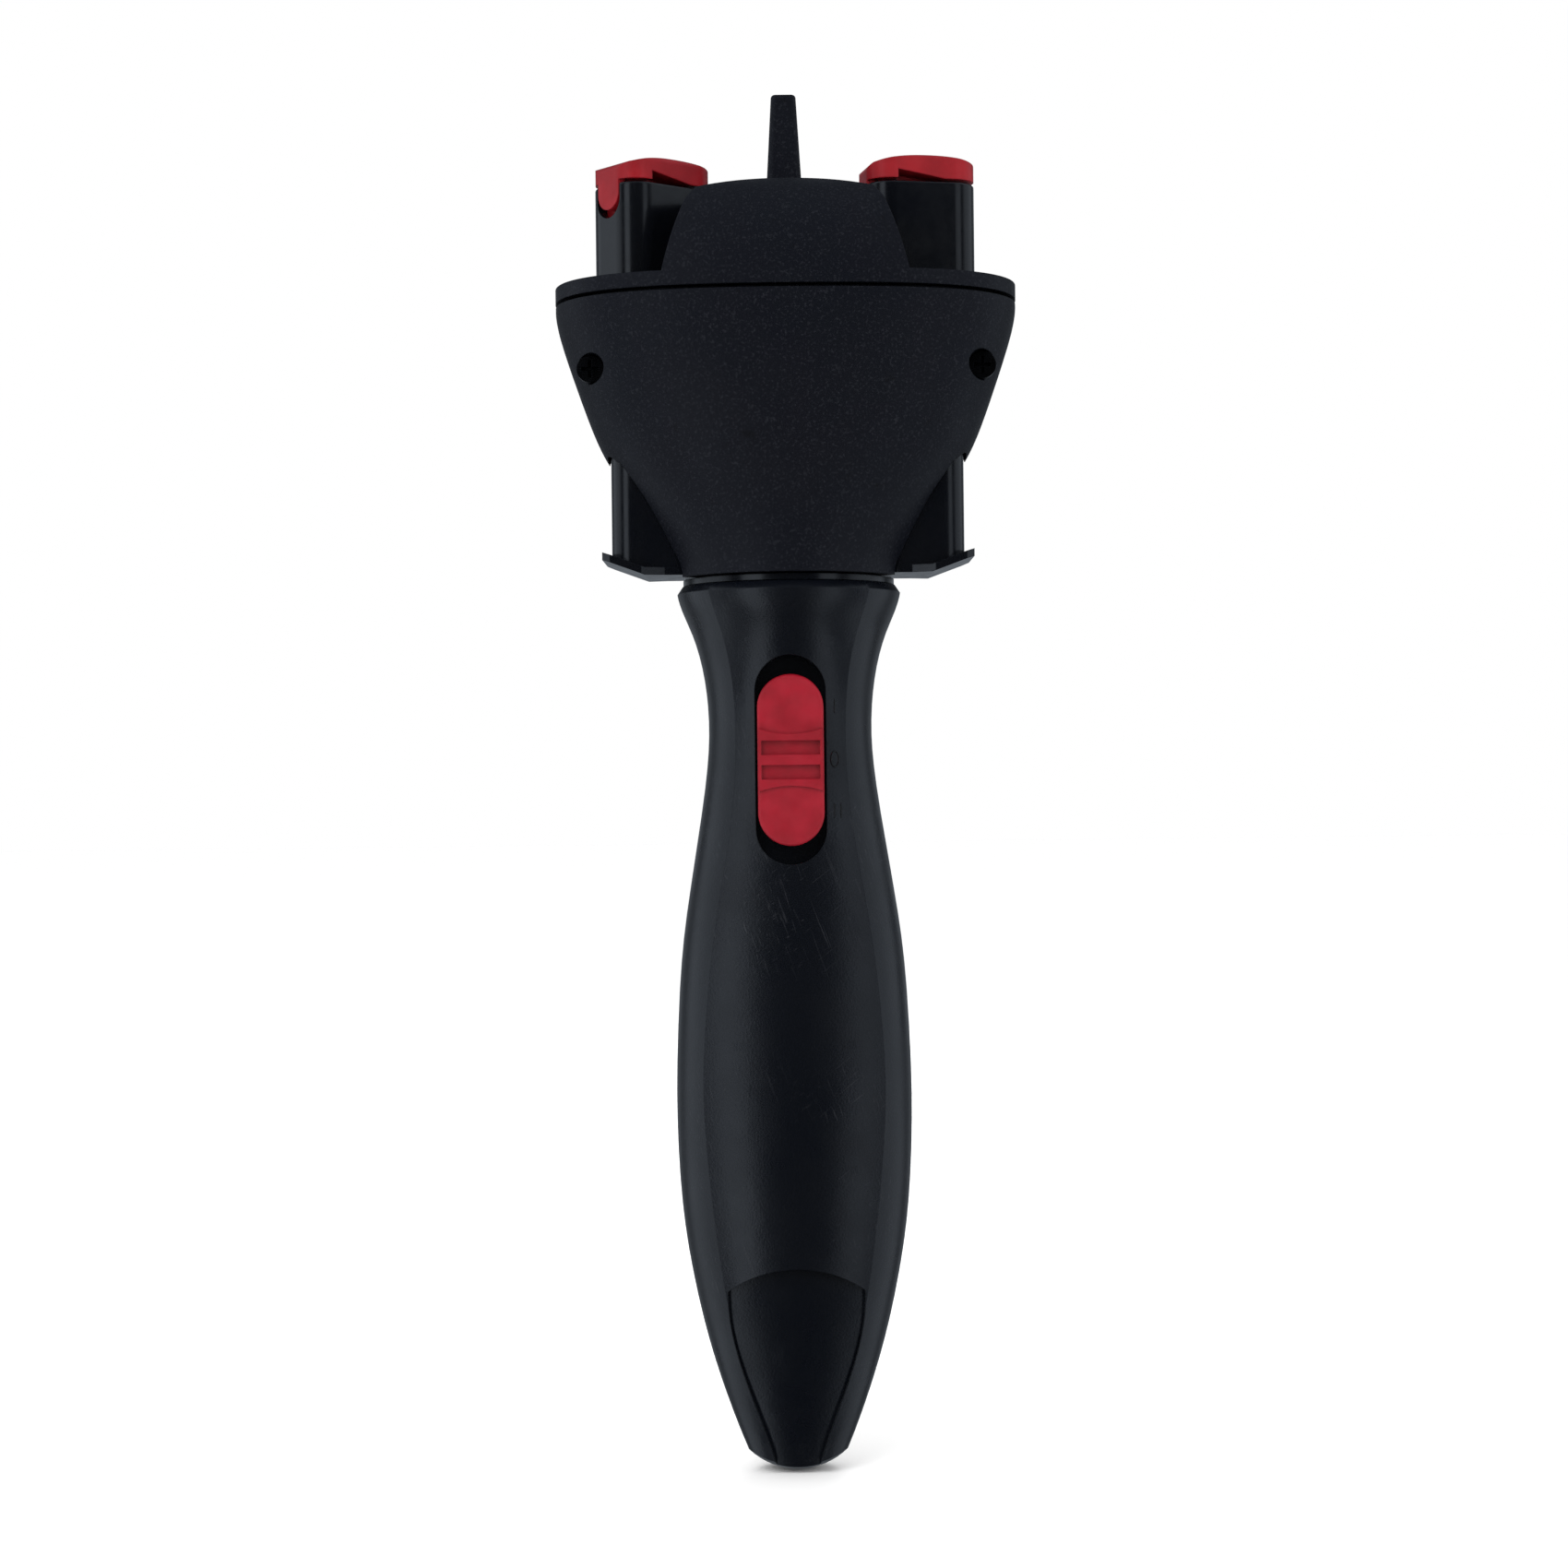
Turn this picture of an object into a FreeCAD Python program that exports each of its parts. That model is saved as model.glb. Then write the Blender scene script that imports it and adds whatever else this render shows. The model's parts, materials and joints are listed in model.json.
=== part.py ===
import FreeCAD, Part
import math
import os

# Automatic two-strand hair braider.  Millimetres.
# Frame: +Z up the handle, -Y the side with the switch, +X to the right seen from the
# switch side.  The origin is the lowest point of the tail, on the axis of rotation.

Vector = FreeCAD.Vector
Z_AXIS = Vector(0, 0, 1)

# Handle: smooth curves through (height, value).
HANDLE_HALF_WIDTH = [(0, 8.0), (10, 12.1), (26, 17.3), (48, 21.7), (74, 23.1), (104, 21.5),
                     (128, 17.8), (144, 16.0), (158, 17.2), (172.2, 21.9)]
HANDLE_CREASE = [(0, 3.8), (10, 7.0), (34, 13.3), (74, 17.5), (104, 15.4), (128, 11.6),
                 (144, 10.6), (158, 11.6), (172.2, 15.4)]
HANDLE_FRONT = [(0, 5.0), (10, 8.2), (34, 14.2), (74, 16.8), (104, 16.2), (128, 15.0),
                (144, 14.6), (152, 15.7), (160, 17.3), (172.2, 21.4)]
HANDLE_PANEL_RISE = [(0, 0.9), (34, 3.3), (74, 4.3), (144, 2.5), (172.2, 5.8)]
HANDLE_BACK = [(0, 7.0), (10, 9.5), (34, 14.0), (74, 16.0), (104, 15.8), (128, 15.0),
               (144, 14.8), (152, 15.9), (160, 17.4), (172.2, 21.9)]
HANDLE_SECTIONS = (0, 5, 10, 18, 26, 36, 48, 62, 76, 90, 104, 118, 128, 137, 144, 151, 158,
                   165, 172.2)
HANDLE_TOP = 172.2
HANDLE_BEVEL_TOP = 173.7
TAIL_RADIUS = 14.2
TAIL_CENTRE_Y = 2.0
WALL = 2.0
SEAM = 0.08
BULKHEAD_BOTTOM = 167.5
HANDLE_SCREWS = ((-12.7, 160), (12.7, 160), (-15.5, 108), (15.5, 108), (0, 24))

# Tongue: the sunk facet at the lower end of the front.
TONGUE_SIDE = ((4.2, 1.5), (7.0, 10.5), (10.9, 22), (13.3, 37))
TONGUE_TOP = 41.8
TONGUE_DEPTH = 1.0
TONGUE_FLATNESS = 0.6
TONGUE_BACKING = ((-30, 0), (-2.4, 3), (-7.2, 24), (-8.9, 43.4), (-30, 43.4))

# Switch and its slider.
SWITCH_Z = 139.5
SLOT_LENGTH = 40.2
SLOT_WIDTH = 13.6
BUTTON_LENGTH = 33.0
BUTTON_WIDTH = 12.75
BUTTON_FACE_Y = -15.9
PAD_DEPTH = 0.5
GROOVE_DEPTH = 1.1
MIDDLE_RIB_HALF = 1.0
OUTER_RIB_START = 3.7
PAD_BOW_RADIUS = 19.0
PAD_BOW_OFFSET = 24.0
SLIDER_GUIDE = 3.7
SLIDER_BACK_Y = -10.6
SLIDER_HALF_HEIGHT = 24.0
SWITCH_FRONT_Y = -10.4
BOARD_FRONT_Y = -7.6
BOARD_BACK_Y = -6.4

# Battery bay with two AA cells.
CELL_RADIUS = 7.25
CELL_X = 7.6
CELL_Y = 1.5
CELL_LENGTH = 49.5
NUB_LENGTH = 1.0
BAY_BOTTOM = 41.0
BAY_TOP = 96.5
CONTACT = 0.5
DOOR_HALF_WIDTH = 14.4
DOOR_BOTTOM = 40.4
DOOR_TOP = 98.6
DOOR_GAP = 0.2
DOOR_HOOK_X = 6.0
KNUCKLE_RADIUS = 1.0
KNUCKLE_GAP = 0.2
HINGE_PIN_RADIUS = 0.4

# Motor.
MOTOR_RADIUS = 7.75
MOTOR_HALF_DEPTH = 6.0
MOTOR_BOTTOM = 124.5
MOTOR_TOP = 149.5
MOTOR_SHAFT = 1.0

# Planetary gearbox, two like stages: sun and planet 12 teeth, ring 36 teeth.
BOX_MODULE = 0.5
SUN_TEETH = 12
PLANET_TEETH = 12
RING_TEETH = 36
PLANET_COUNT = 3
PLANET_ORBIT = BOX_MODULE * (SUN_TEETH + PLANET_TEETH) / 2
BOX_RADIUS = 10.1
BOX_BOTTOM = 151.0
BOX_TOP = 168.0
BOX_LID_TOP = 170.0
STAGE_BOTTOMS = (154.0, 160.9)
GEAR_WIDTH = 4.4
CARRIER_RADIUS = 8.0
CARRIER_BOTTOMS = (159.0, 166.0)
CARRIER_THICKNESS = (1.2, 1.6)
PIN_RADIUS = 0.9

# Drive shaft, neck and the running fits.
SHAFT_RADIUS = 2.5
SHAFT_TOP = 229.5
FIT = 0.06
SLEEVE_FLANGE_RADIUS = 19.6
SLEEVE_FLANGE_BOTTOM = 171.2
SLEEVE_FLANGE_TOP = 174.9
SLEEVE_RIM_RADIUS = 20.7
SLEEVE_RADIUS = 8.0
SLEEVE_BORE = 4.0
SLEEVE_TOP = 206.0
HUB_BOTTOM = 175.1
HUB_TOP = 200.2
HUB_RADIUS = 11.5
NECK_SCREW_OFFSET = 11.5

RETAINER_SEAT = 7.4
RETAINER_BOTTOM = 200.5
RETAINER_TOP = 201.5

# Ratchets: one stops the head turning back, one ties the head to the shaft.
RATCHET_TEETH = 24
RATCHET_WIDTH = 3.0
NECK_RATCHET_TIP = 11.0
NECK_RATCHET_BOTTOM = 202.5
NECK_PAWL_PIVOT = 14.5
DRIVE_RATCHET_TIP = 9.0
DRIVE_RATCHET_BOTTOM = 209.0
DRIVE_PAWL_PIVOT = 12.5
PAWL_PIN = 1.2
PAWL_LIFT = 0.35

# Head casing: smooth curves through (height, value); ROUND shapes the oval's corners.
HEAD_HALF_WIDTH = [(175.2, 22.4), (179, 23.6), (186, 27.4), (192, 31.0), (196.6, 34.3),
                   (205.7, 38.6), (213, 41.2), (220, 43.5), (225, 44.8), (228.4, 45.1)]
HEAD_HALF_DEPTH = [(175.2, 22.4), (190, 22.6), (205, 24.0), (228.4, 26.0)]
HEAD_ROUND = [(175.2, 0.552), (190, 0.57), (210, 0.64), (228.4, 0.70)]
HEAD_SECTIONS = (175.2, 179, 186, 192, 198, 205.7, 213, 220, 225, 228.4)
HEAD_BOTTOM = 175.2
HEAD_TOP = 228.4
HEAD_SCREW_X = 37.8
HEAD_SCREW_Z = 215.2

# Clamps, gears and levers.
CLAMP_X = 26.0
GEAR_MODULE = 1.0
GEAR_TEETH = 26
GEAR_BOTTOM = 221.8
GEAR_TOP = 226.8
CHASSIS_BOTTOM = 219.2
CHASSIS_TOP = 221.2
CLAMP_ANGLE = {"left": 40.0, "right": 12.0}
SHEATH_LENGTH = 21.6
SHEATH_DEPTH = 15.0
SHEATH_CORNER = 5.0
SHEATH_WALL = 1.8
SHEATH_BOTTOM = 232.4
SHEATH_TOP = 251.8
NOTCH_Z = 248.9
NOTCH_HALF = 3.6
HOOK_BOTTOM = 252.4
HOOK_CROWN = 257.1
HOOK_EDGE = 1.2
ROD_RADIUS = 2.4
ROD_BOTTOM = 200.0
BUTTON_TOP = 202.0
ROTOR_BOTTOM = 217.9
CLIP_SEAT = 5.2
CLIP_BOTTOM = 218.4
CLIP_TOP = 219.0
HOOK_FOOT_BOTTOM = 234.8
LEVER_INNER_X = 17.8
LEVER_OUTER_X = 34.4
LEVER_HALF_DEPTH = 8.6
LEVER_CORNER = 4.4
LEVER_TOP = 206.0
POCKET_GAP = 0.6
POCKET_WALL = 1.2
POCKET_TOP = 215.0

# Top cover, dome and hair divider.
COVER_BOTTOM = 229.15
COVER_TOP = 232.0
COVER_HALF_WIDTH = 45.15
COVER_HALF_DEPTH = 26.1
COVER_ROUND = 0.70
DOME_SIDE = ((23.6, 231.2), (22.2, 236.7), (20.9, 240.9), (18.9, 246.3))
DOME_CORNER = (17.0, 248.9)
DOME_TOP = 251.0
DOME_TOP_DEPTH = 18.0
CLAMP_SWEEP = 12.4
DIVIDER_TOP = 270.0
COVER_SCREW_Y = 18.0


def box(x0, x1, y0, y1, z0, z1):
    return Part.makeBox(x1 - x0, y1 - y0, z1 - z0, Vector(x0, y0, z0))


def rod(radius, z0, z1, x=0.0, y=0.0):
    return Part.makeCylinder(radius, z1 - z0, Vector(x, y, z0))


def ring(outer, inner, z0, z1, x=0.0, y=0.0):
    return rod(outer, z0, z1, x, y).cut(rod(inner, z0, z1, x, y))


def rod_along_y(radius, y0, y1, x, z):
    return Part.makeCylinder(radius, y1 - y0, Vector(x, y0, z), Vector(0, 1, 0))


def join(shapes):
    return shapes[0].fuse(shapes[1:]).removeSplitter()


def mirrored(shape):
    return shape.mirror(Vector(0, 0, 0), Vector(1, 0, 0))


def face_of(edges):
    return Part.Face(Part.Wire(Part.__sortEdges__(edges)))


def segment(start, end):
    return Part.LineSegment(start, end).toShape()


def arc(start, middle, end):
    return Part.Arc(start, middle, end).toShape()


def bezier(poles):
    curve = Part.BezierCurve()
    curve.setPoles(poles)
    return curve.toShape()


def smooth_line(points):
    curve = Part.BSplineCurve()
    curve.interpolate(points)
    return curve.toShape()


def profile(stations, height):
    """Value at a height on the smooth curve through (height, value) stations."""
    last = len(stations) - 2
    index = 0
    while index < last and height > stations[index + 1][0]:
        index += 1
    low = stations[index]
    high = stations[index + 1]
    before = stations[max(index - 1, 0)]
    after = stations[min(index + 2, last + 1)]
    span = high[0] - low[0]
    rise_low = span * (high[1] - before[1]) / (high[0] - before[0])
    rise_high = span * (after[1] - low[1]) / (after[0] - low[0])
    t = (height - low[0]) / span
    value = (2 * t ** 3 - 3 * t ** 2 + 1) * low[1] + (3 * t ** 2 - 2 * t ** 3) * high[1]
    return value + (t ** 3 - 2 * t ** 2 + t) * rise_low + (t ** 3 - t ** 2) * rise_high


def rounded_rectangle(half_x, half_y, corner, z0, z1, x=0.0, y=0.0):
    """Upright block with rounded corners, centred on (x, y)."""
    block = box(x - half_x, x + half_x, y - half_y, y + half_y, z0, z1)
    upright = [edge for edge in block.Edges
               if abs(edge.Vertexes[0].Z - edge.Vertexes[1].Z) > 0.5 * (z1 - z0)]
    return block.makeFillet(corner, upright)


def stadium(half_length, half_width, y0, y1, z_centre):
    """Upright slot shape with round ends, extruded along Y."""
    straight = half_length - half_width
    body = box(-half_width, half_width, y0, y1, z_centre - straight, z_centre + straight)
    ends = [rod_along_y(half_width, y0, y1, 0, z_centre + side * straight) for side in (-1, 1)]
    return join([body] + ends)


def screw(shank_length, shank_radius=1.4, head_radius=2.6, head_height=1.8):
    """Cross-head screw pointing down, with the top of its head at the origin."""
    head = rod(head_radius, -head_height, 0)
    shank = rod(shank_radius, -head_height - shank_length, -head_height)
    arm = 0.65 * head_radius
    slit = 0.14 * head_radius
    cross = box(-arm, arm, -slit, slit, -0.5 * head_height, 0)
    cross = cross.fuse(box(-slit, slit, -arm, arm, -0.5 * head_height, 0))
    return join([head, shank]).cut(cross)


def screw_toward(direction, x, y, z, shank_length, shank_radius=1.4, head_radius=2.6,
                 head_height=1.8):
    """Screw with its head's face at (x, y, z), pointing to +y, -y, +z or -z."""
    turn = {"+y": 90, "-y": -90, "+z": 180, "-z": 0}[direction]
    piece = screw(shank_length, shank_radius, head_radius, head_height)
    piece.rotate(Vector(0, 0, 0), Vector(1, 0, 0), turn)
    piece.translate(Vector(x, y, z))
    return piece


def coil_spring(radius, wire, z0, z1, turns, x, y):
    """Round wire wound on a smooth helix about an upright axis at (x, y)."""
    steps = 12
    rise = (z1 - z0 - wire) / (steps * turns)
    points = []
    for step in range(steps * turns + 1):
        angle = 2 * math.pi * step / steps
        points.append(Vector(x + radius * math.cos(angle), y + radius * math.sin(angle),
                             z0 + wire / 2 + rise * step))
    curve = Part.BSplineCurve()
    curve.interpolate(points)
    section = Part.Wire(Part.makeCircle(wire / 2, points[0], curve.tangent(0)[0]))
    return Part.Wire(curve.toShape()).makePipeShell([section], True, True)


def gear(teeth, module, z0, z1, addendum, dedendum, thinning, phase=0.0):
    """Spur gear blank with involute teeth; thinning is taken off each tooth's thickness."""
    pressure = math.radians(20)
    pitch_radius = module * teeth / 2
    base = pitch_radius * math.cos(pressure)
    root = pitch_radius - dedendum
    tip = pitch_radius + addendum
    half_tooth = (math.pi * module / 2 - thinning) / (2 * pitch_radius)
    involute_start = max(base, root)
    steps = 3
    radii = [root] if root < base else []
    radii += [involute_start + (tip - involute_start) * step / steps for step in range(steps + 1)]
    flank = []
    for radius in radii:
        roll = math.acos(base / max(radius, base))
        lean = half_tooth + math.tan(pressure) - pressure - math.tan(roll) + roll
        flank.append((radius, lean))
    points = []
    for tooth in range(teeth):
        middle = math.radians(phase) + 2 * math.pi * tooth / teeth
        for radius, lean in flank:
            points.append((radius, middle - lean))
        for radius, lean in reversed(flank):
            points.append((radius, middle + lean))
    corners = [Vector(radius * math.cos(angle), radius * math.sin(angle), z0)
               for radius, angle in points]
    outline = Part.makePolygon(corners + [corners[0]])
    return Part.Face(outline).extrude(Vector(0, 0, z1 - z0))


# ---------------------------------------------------------------- handle

def handle_section(height, side=0.0, front=0.0, back=0.0, panel=1.0):
    """Cross-section of the handle: a bulging front panel between two creases, oval behind."""
    half_width = profile(HANDLE_HALF_WIDTH, height) - side
    crease = profile(HANDLE_CREASE, height) - 0.6 * side
    rise = profile(HANDLE_PANEL_RISE, height)
    edge = profile(HANDLE_FRONT, height) - rise - front
    rise = rise * panel
    depth = profile(HANDLE_BACK, height) - back
    lean = math.asin(crease / half_width)
    oval_depth = edge / math.cos(lean)
    reach = 4 / 3 * math.tan((math.pi / 2 - lean) / 4)
    belly = 0.58

    def at(x, y):
        return Vector(x, y, height)

    def side_curve(sign):
        poles = [at(sign * crease, -edge),
                 at(sign * (crease + reach * half_width * math.cos(lean)),
                    -edge + reach * oval_depth * math.sin(lean)),
                 at(sign * half_width, -reach * oval_depth),
                 at(sign * half_width, 0)]
        return poles

    panel_curve = [at(-crease, -edge), at(-crease / 3, -edge - 4 * rise / 3),
                   at(crease / 3, -edge - 4 * rise / 3), at(crease, -edge)]
    back_right = [at(half_width, 0), at(half_width, belly * depth),
                  at(belly * half_width, depth), at(0, depth)]
    back_left = [at(0, depth), at(-belly * half_width, depth),
                 at(-half_width, belly * depth), at(-half_width, 0)]
    curves = [panel_curve, side_curve(1), back_right, back_left, list(reversed(side_curve(-1)))]
    return Part.Wire([bezier(poles) for poles in curves])


def handle_solid(heights, side=0.0, front=0.0, back=0.0, panel=1.0):
    sections = [handle_section(height, side, front, back, panel) for height in heights]
    return Part.makeLoft(sections, True, False)


def handle_outside():
    """Whole outer form of the handle, with its round tail and the bevel at the neck."""
    body = handle_solid(HANDLE_SECTIONS)
    centre = Vector(0, TAIL_CENTRE_Y, TAIL_RADIUS)
    tail = Part.makeSphere(TAIL_RADIUS, centre, Vector(1, 0, 0))
    tail = tail.fuse(box(-30, 30, -30, 30, 6, 180))
    body = body.common(tail)
    top = handle_section(HANDLE_TOP)
    bevel = handle_section(HANDLE_TOP, 1.0, 1.0, 1.0)
    bevel.translate(Vector(0, 0, HANDLE_BEVEL_TOP - HANDLE_TOP))
    return body.fuse(Part.makeLoft([top, bevel], True, True))


def handle_core(z0, z1, inset=WALL):
    """Space inside the handle's walls between two heights."""
    heights = [z0] + [height for height in HANDLE_SECTIONS if z0 < height < z1] + [z1]
    return handle_solid(heights, inset, inset, inset)


def tongue_recess(outside):
    """Material that the sunk facet removes: an arch between the creases, a step deep."""
    right = smooth_line([Vector(x, -30, z) for x, z in TONGUE_SIDE])
    left = smooth_line([Vector(-x, -30, z) for x, z in TONGUE_SIDE])
    foot_x, foot_z = TONGUE_SIDE[0]
    top_x, top_z = TONGUE_SIDE[-1]
    arch = arc(Vector(top_x, -30, top_z), Vector(0, -30, TONGUE_TOP), Vector(-top_x, -30, top_z))
    foot = [Vector(foot_x, -30, foot_z), Vector(foot_x, -30, -2), Vector(-foot_x, -30, -2),
            Vector(-foot_x, -30, foot_z)]
    edges = [right, arch, left] + [segment(a, b) for a, b in zip(foot, foot[1:])]
    window = face_of(edges).extrude(Vector(0, 30, 0))
    floor_heights = [height for height in HANDLE_SECTIONS if height <= 48]
    floor = handle_solid(floor_heights, 0.0, TONGUE_DEPTH, 0.0, TONGUE_FLATNESS)
    return window.common(outside).cut(floor)


def handle_hollow():
    """Space inside the shells, kept further back behind the tongue."""
    corners = [Vector(-30, y, z) for y, z in TONGUE_BACKING]
    backing = Part.Face(Part.makePolygon(corners + [corners[0]])).extrude(Vector(60, 0, 0))
    return handle_core(4, BULKHEAD_BOTTOM).cut(backing)


def screw_boss(x, z, radius, outside):
    """Screw pillar: slim in front of the seam, wider round the counterbore behind it."""
    slim = rod_along_y(radius, -30, 6, x, z)
    wide = rod_along_y(4.0, 5.0, 30, x, z)
    return slim.fuse(wide).common(outside)


def rib(z0, z1, openings):
    """Cross wall inside the handle, with the given openings."""
    wall = handle_core(z0, z1, WALL - 0.3)
    for opening in openings:
        wall = wall.cut(opening)
    return wall


def motor_outline(clearance, z0, z1):
    depth = MOTOR_HALF_DEPTH + clearance
    block = box(-20, 20, -depth, depth, z0, z1)
    return rod(MOTOR_RADIUS + clearance, z0, z1).common(block)


def handle_inside(outside):
    """Ribs, bosses and bulkhead that both handle shells share before they are parted."""
    board_channel = box(-8.6, 8.6, -20, -MOTOR_HALF_DEPTH + 0.2, 100, BULKHEAD_BOTTOM)
    motor = motor_outline(0.0, 120, 150)
    gearbox = rod(BOX_RADIUS, 148, HANDLE_TOP)
    pieces = [rib(130, 131.6, [motor, board_channel]),
              rib(143, 144.6, [motor, board_channel]),
              rib(153.4, 155, [gearbox, board_channel]),
              rib(164.7, 166.2, [gearbox, board_channel])]
    for x, z in HANDLE_SCREWS:
        radius = 2.4 if z > BOX_BOTTOM else 2.8
        pieces.append(screw_boss(x, z, radius, outside).cut(gearbox))
    bay_front = box(-12, 12, -30, -7.2, 60, 61.6)
    bay_front = bay_front.fuse(box(-12, 12, -30, -7.2, 84, 85.6))
    pieces.append(bay_front.common(outside))
    return pieces


def handle_blank():
    """Both handle shells in one piece, before the seam parts them."""
    outside = handle_outside()
    outside = outside.cut(tongue_recess(outside))
    blank = join([outside.cut(handle_hollow())] + handle_inside(outside))
    blank = blank.cut(rod(BOX_RADIUS + FIT, MOTOR_TOP, SLEEVE_FLANGE_BOTTOM))
    blank = blank.cut(rod(SLEEVE_FLANGE_RADIUS + 0.1, SLEEVE_FLANGE_BOTTOM, 180))
    blank = blank.cut(stadium(SLOT_LENGTH / 2, SLOT_WIDTH / 2, -30, -9, SWITCH_Z))
    guide_half = SLIDER_HALF_HEIGHT + SLIDER_GUIDE
    blank = blank.cut(box(-8.0, 8.0, SLIDER_BACK_Y - 1.1, -9, SWITCH_Z - guide_half,
                          SWITCH_Z + guide_half))
    for x, z in HANDLE_SCREWS:
        blank = blank.cut(rod_along_y(1.4, -8.0, 20, x, z))
        blank = blank.cut(rod_along_y(3.0, 6.6, 30, x, z))
    for x in (-NECK_SCREW_OFFSET, NECK_SCREW_OFFSET):
        for y in (-NECK_SCREW_OFFSET, NECK_SCREW_OFFSET):
            blank = blank.cut(rod(1.0, BULKHEAD_BOTTOM, SLEEVE_FLANGE_BOTTOM + 1, x, y))
    return blank


def front_shell(blank):
    return blank.common(box(-40, 40, -40, -SEAM / 2, -5, 200))


def back_shell(blank):
    half = blank.common(box(-40, 40, SEAM / 2, 40, -5, 200))
    side = DOOR_HALF_WIDTH + DOOR_GAP
    half = half.cut(box(-side, side, 5, 40, DOOR_BOTTOM - DOOR_GAP, DOOR_TOP + DOOR_GAP))
    for x in (-DOOR_HOOK_X, DOOR_HOOK_X):
        half = half.cut(hinge_rod(KNUCKLE_RADIUS + KNUCKLE_GAP, x - 2.2, x + 2.2))
    knuckle = hinge_rod(KNUCKLE_RADIUS, -3.6, 3.6)
    return join([half.Solids[0], knuckle, hinge_rod(HINGE_PIN_RADIUS, -7.8, 7.8)])


def hinge_rod(radius, x0, x1):
    """Rod on the battery door's hinge line, at the door's lower outer edge."""
    start = Vector(x0, profile(HANDLE_BACK, DOOR_BOTTOM), DOOR_BOTTOM)
    return Part.makeCylinder(radius, x1 - x0, start, Vector(1, 0, 0))


def battery_door():
    """Curved cover over the cells: hinge knuckles and hooks below, thumb ridges above."""
    outside = handle_solid([height for height in HANDLE_SECTIONS if 30 < height < 120])
    wall = outside.cut(handle_core(37, 117))
    plate = wall.common(box(-DOOR_HALF_WIDTH, DOOR_HALF_WIDTH, 5, 40, DOOR_BOTTOM, DOOR_TOP))
    pivot_y = profile(HANDLE_BACK, DOOR_BOTTOM)
    pieces = [plate]
    for x in (-DOOR_HOOK_X, DOOR_HOOK_X):
        hook = box(x - 2, x + 2, pivot_y - 5.0, pivot_y - 3.8, DOOR_BOTTOM - 2, DOOR_BOTTOM + 4)
        foot = box(x - 2, x + 2, pivot_y - 5.0, pivot_y - 1.0, DOOR_BOTTOM + 1.5,
                   DOOR_BOTTOM + 4)
        pieces += [hook, foot.common(outside), hinge_rod(KNUCKLE_RADIUS, x - 2, x + 2)]
    door = join(pieces).cut(hinge_rod(KNUCKLE_RADIUS + KNUCKLE_GAP, -3.8, 3.8))
    door = door.cut(hinge_rod(HINGE_PIN_RADIUS + FIT, -8.2, 8.2))
    surface = profile(HANDLE_BACK, 90)
    for index in range(5):
        z = 84 + 2.2 * index
        groove = box(-6, 6, surface - 0.7, surface + 2, z, z + 0.9)
        door = door.cut(groove)
    return door


def handle_screws():
    return [screw_toward("-y", x, 8.4, z, 13.4) for x, z in HANDLE_SCREWS]


# ---------------------------------------------------------------- batteries

def battery_tray():
    """Cradle for two cells, open to the back."""
    tray = box(-15.6, 15.6, -7.2, 3.0, BAY_BOTTOM - 1.5, BAY_TOP + 1.5)
    tray = tray.common(handle_core(30, 110, WALL + 0.1))
    for x in (-CELL_X, CELL_X):
        tray = tray.cut(rod(CELL_RADIUS + 0.15, BAY_BOTTOM, BAY_TOP, x, CELL_Y))
        tray = tray.cut(box(x - CELL_RADIUS, x + CELL_RADIUS, CELL_Y, 9, BAY_BOTTOM, BAY_TOP))
    for plate in contact_plates():
        tray = tray.cut(plate)
    return tray


def cell(side):
    """AA cell; the left one has its nub up and the right one has its nub down."""
    x = side * CELL_X
    if side < 0:
        bottom = BAY_TOP - CONTACT - NUB_LENGTH - CELL_LENGTH
        nub = rod(2.6, bottom + CELL_LENGTH, BAY_TOP - CONTACT, x, CELL_Y)
    else:
        bottom = BAY_BOTTOM + CONTACT + NUB_LENGTH
        nub = rod(2.6, BAY_BOTTOM + CONTACT, bottom, x, CELL_Y)
    can = rod(CELL_RADIUS, bottom, bottom + CELL_LENGTH, x, CELL_Y)
    rim = [edge for edge in can.Edges if edge.Length > 40]
    return join([can.makeFillet(0.6, rim), nub])


def contact_plates():
    """One bridge at the bottom of the bay and two tabs at its top."""
    bridge = box(-13, 13, -3, 6, BAY_BOTTOM, BAY_BOTTOM + CONTACT)
    tabs = [box(x - 5, x + 5, -3, 6, BAY_TOP - CONTACT, BAY_TOP) for x in (-CELL_X, CELL_X)]
    return [bridge] + tabs


def battery_springs():
    low_end = BAY_TOP - CONTACT - NUB_LENGTH - CELL_LENGTH
    high_end = BAY_BOTTOM + CONTACT + NUB_LENGTH + CELL_LENGTH
    low = coil_spring(3.4, 0.7, BAY_BOTTOM + CONTACT, low_end, 3, -CELL_X, CELL_Y)
    high = coil_spring(3.4, 0.7, high_end, BAY_TOP - CONTACT, 3, CELL_X, CELL_Y)
    return [low, high]


# ---------------------------------------------------------------- electrics

def circuit_board():
    return box(-7, 7, BOARD_FRONT_Y, BOARD_BACK_Y, 121, MOTOR_TOP)


def slide_switch():
    body = box(-3.5, 3.5, SWITCH_FRONT_Y, BOARD_FRONT_Y, SWITCH_Z - 5.5, SWITCH_Z + 5.5)
    return body.cut(box(-1.1, 1.1, SWITCH_FRONT_Y, -8.8, SWITCH_Z - 5.0, SWITCH_Z + 5.0))


def power_leads():
    """Straight leads from the bay's tabs up to the board, and from the board to the motor."""
    pieces = [rod(0.6, BAY_TOP + 1.5, 121, x, -7.0) for x in (-4.5, 4.5)]
    for x in (-3.5, 3.5):
        pieces.append(rod_along_y(0.5, BOARD_BACK_Y, -4.9, x, 122.0))
    return pieces


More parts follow.
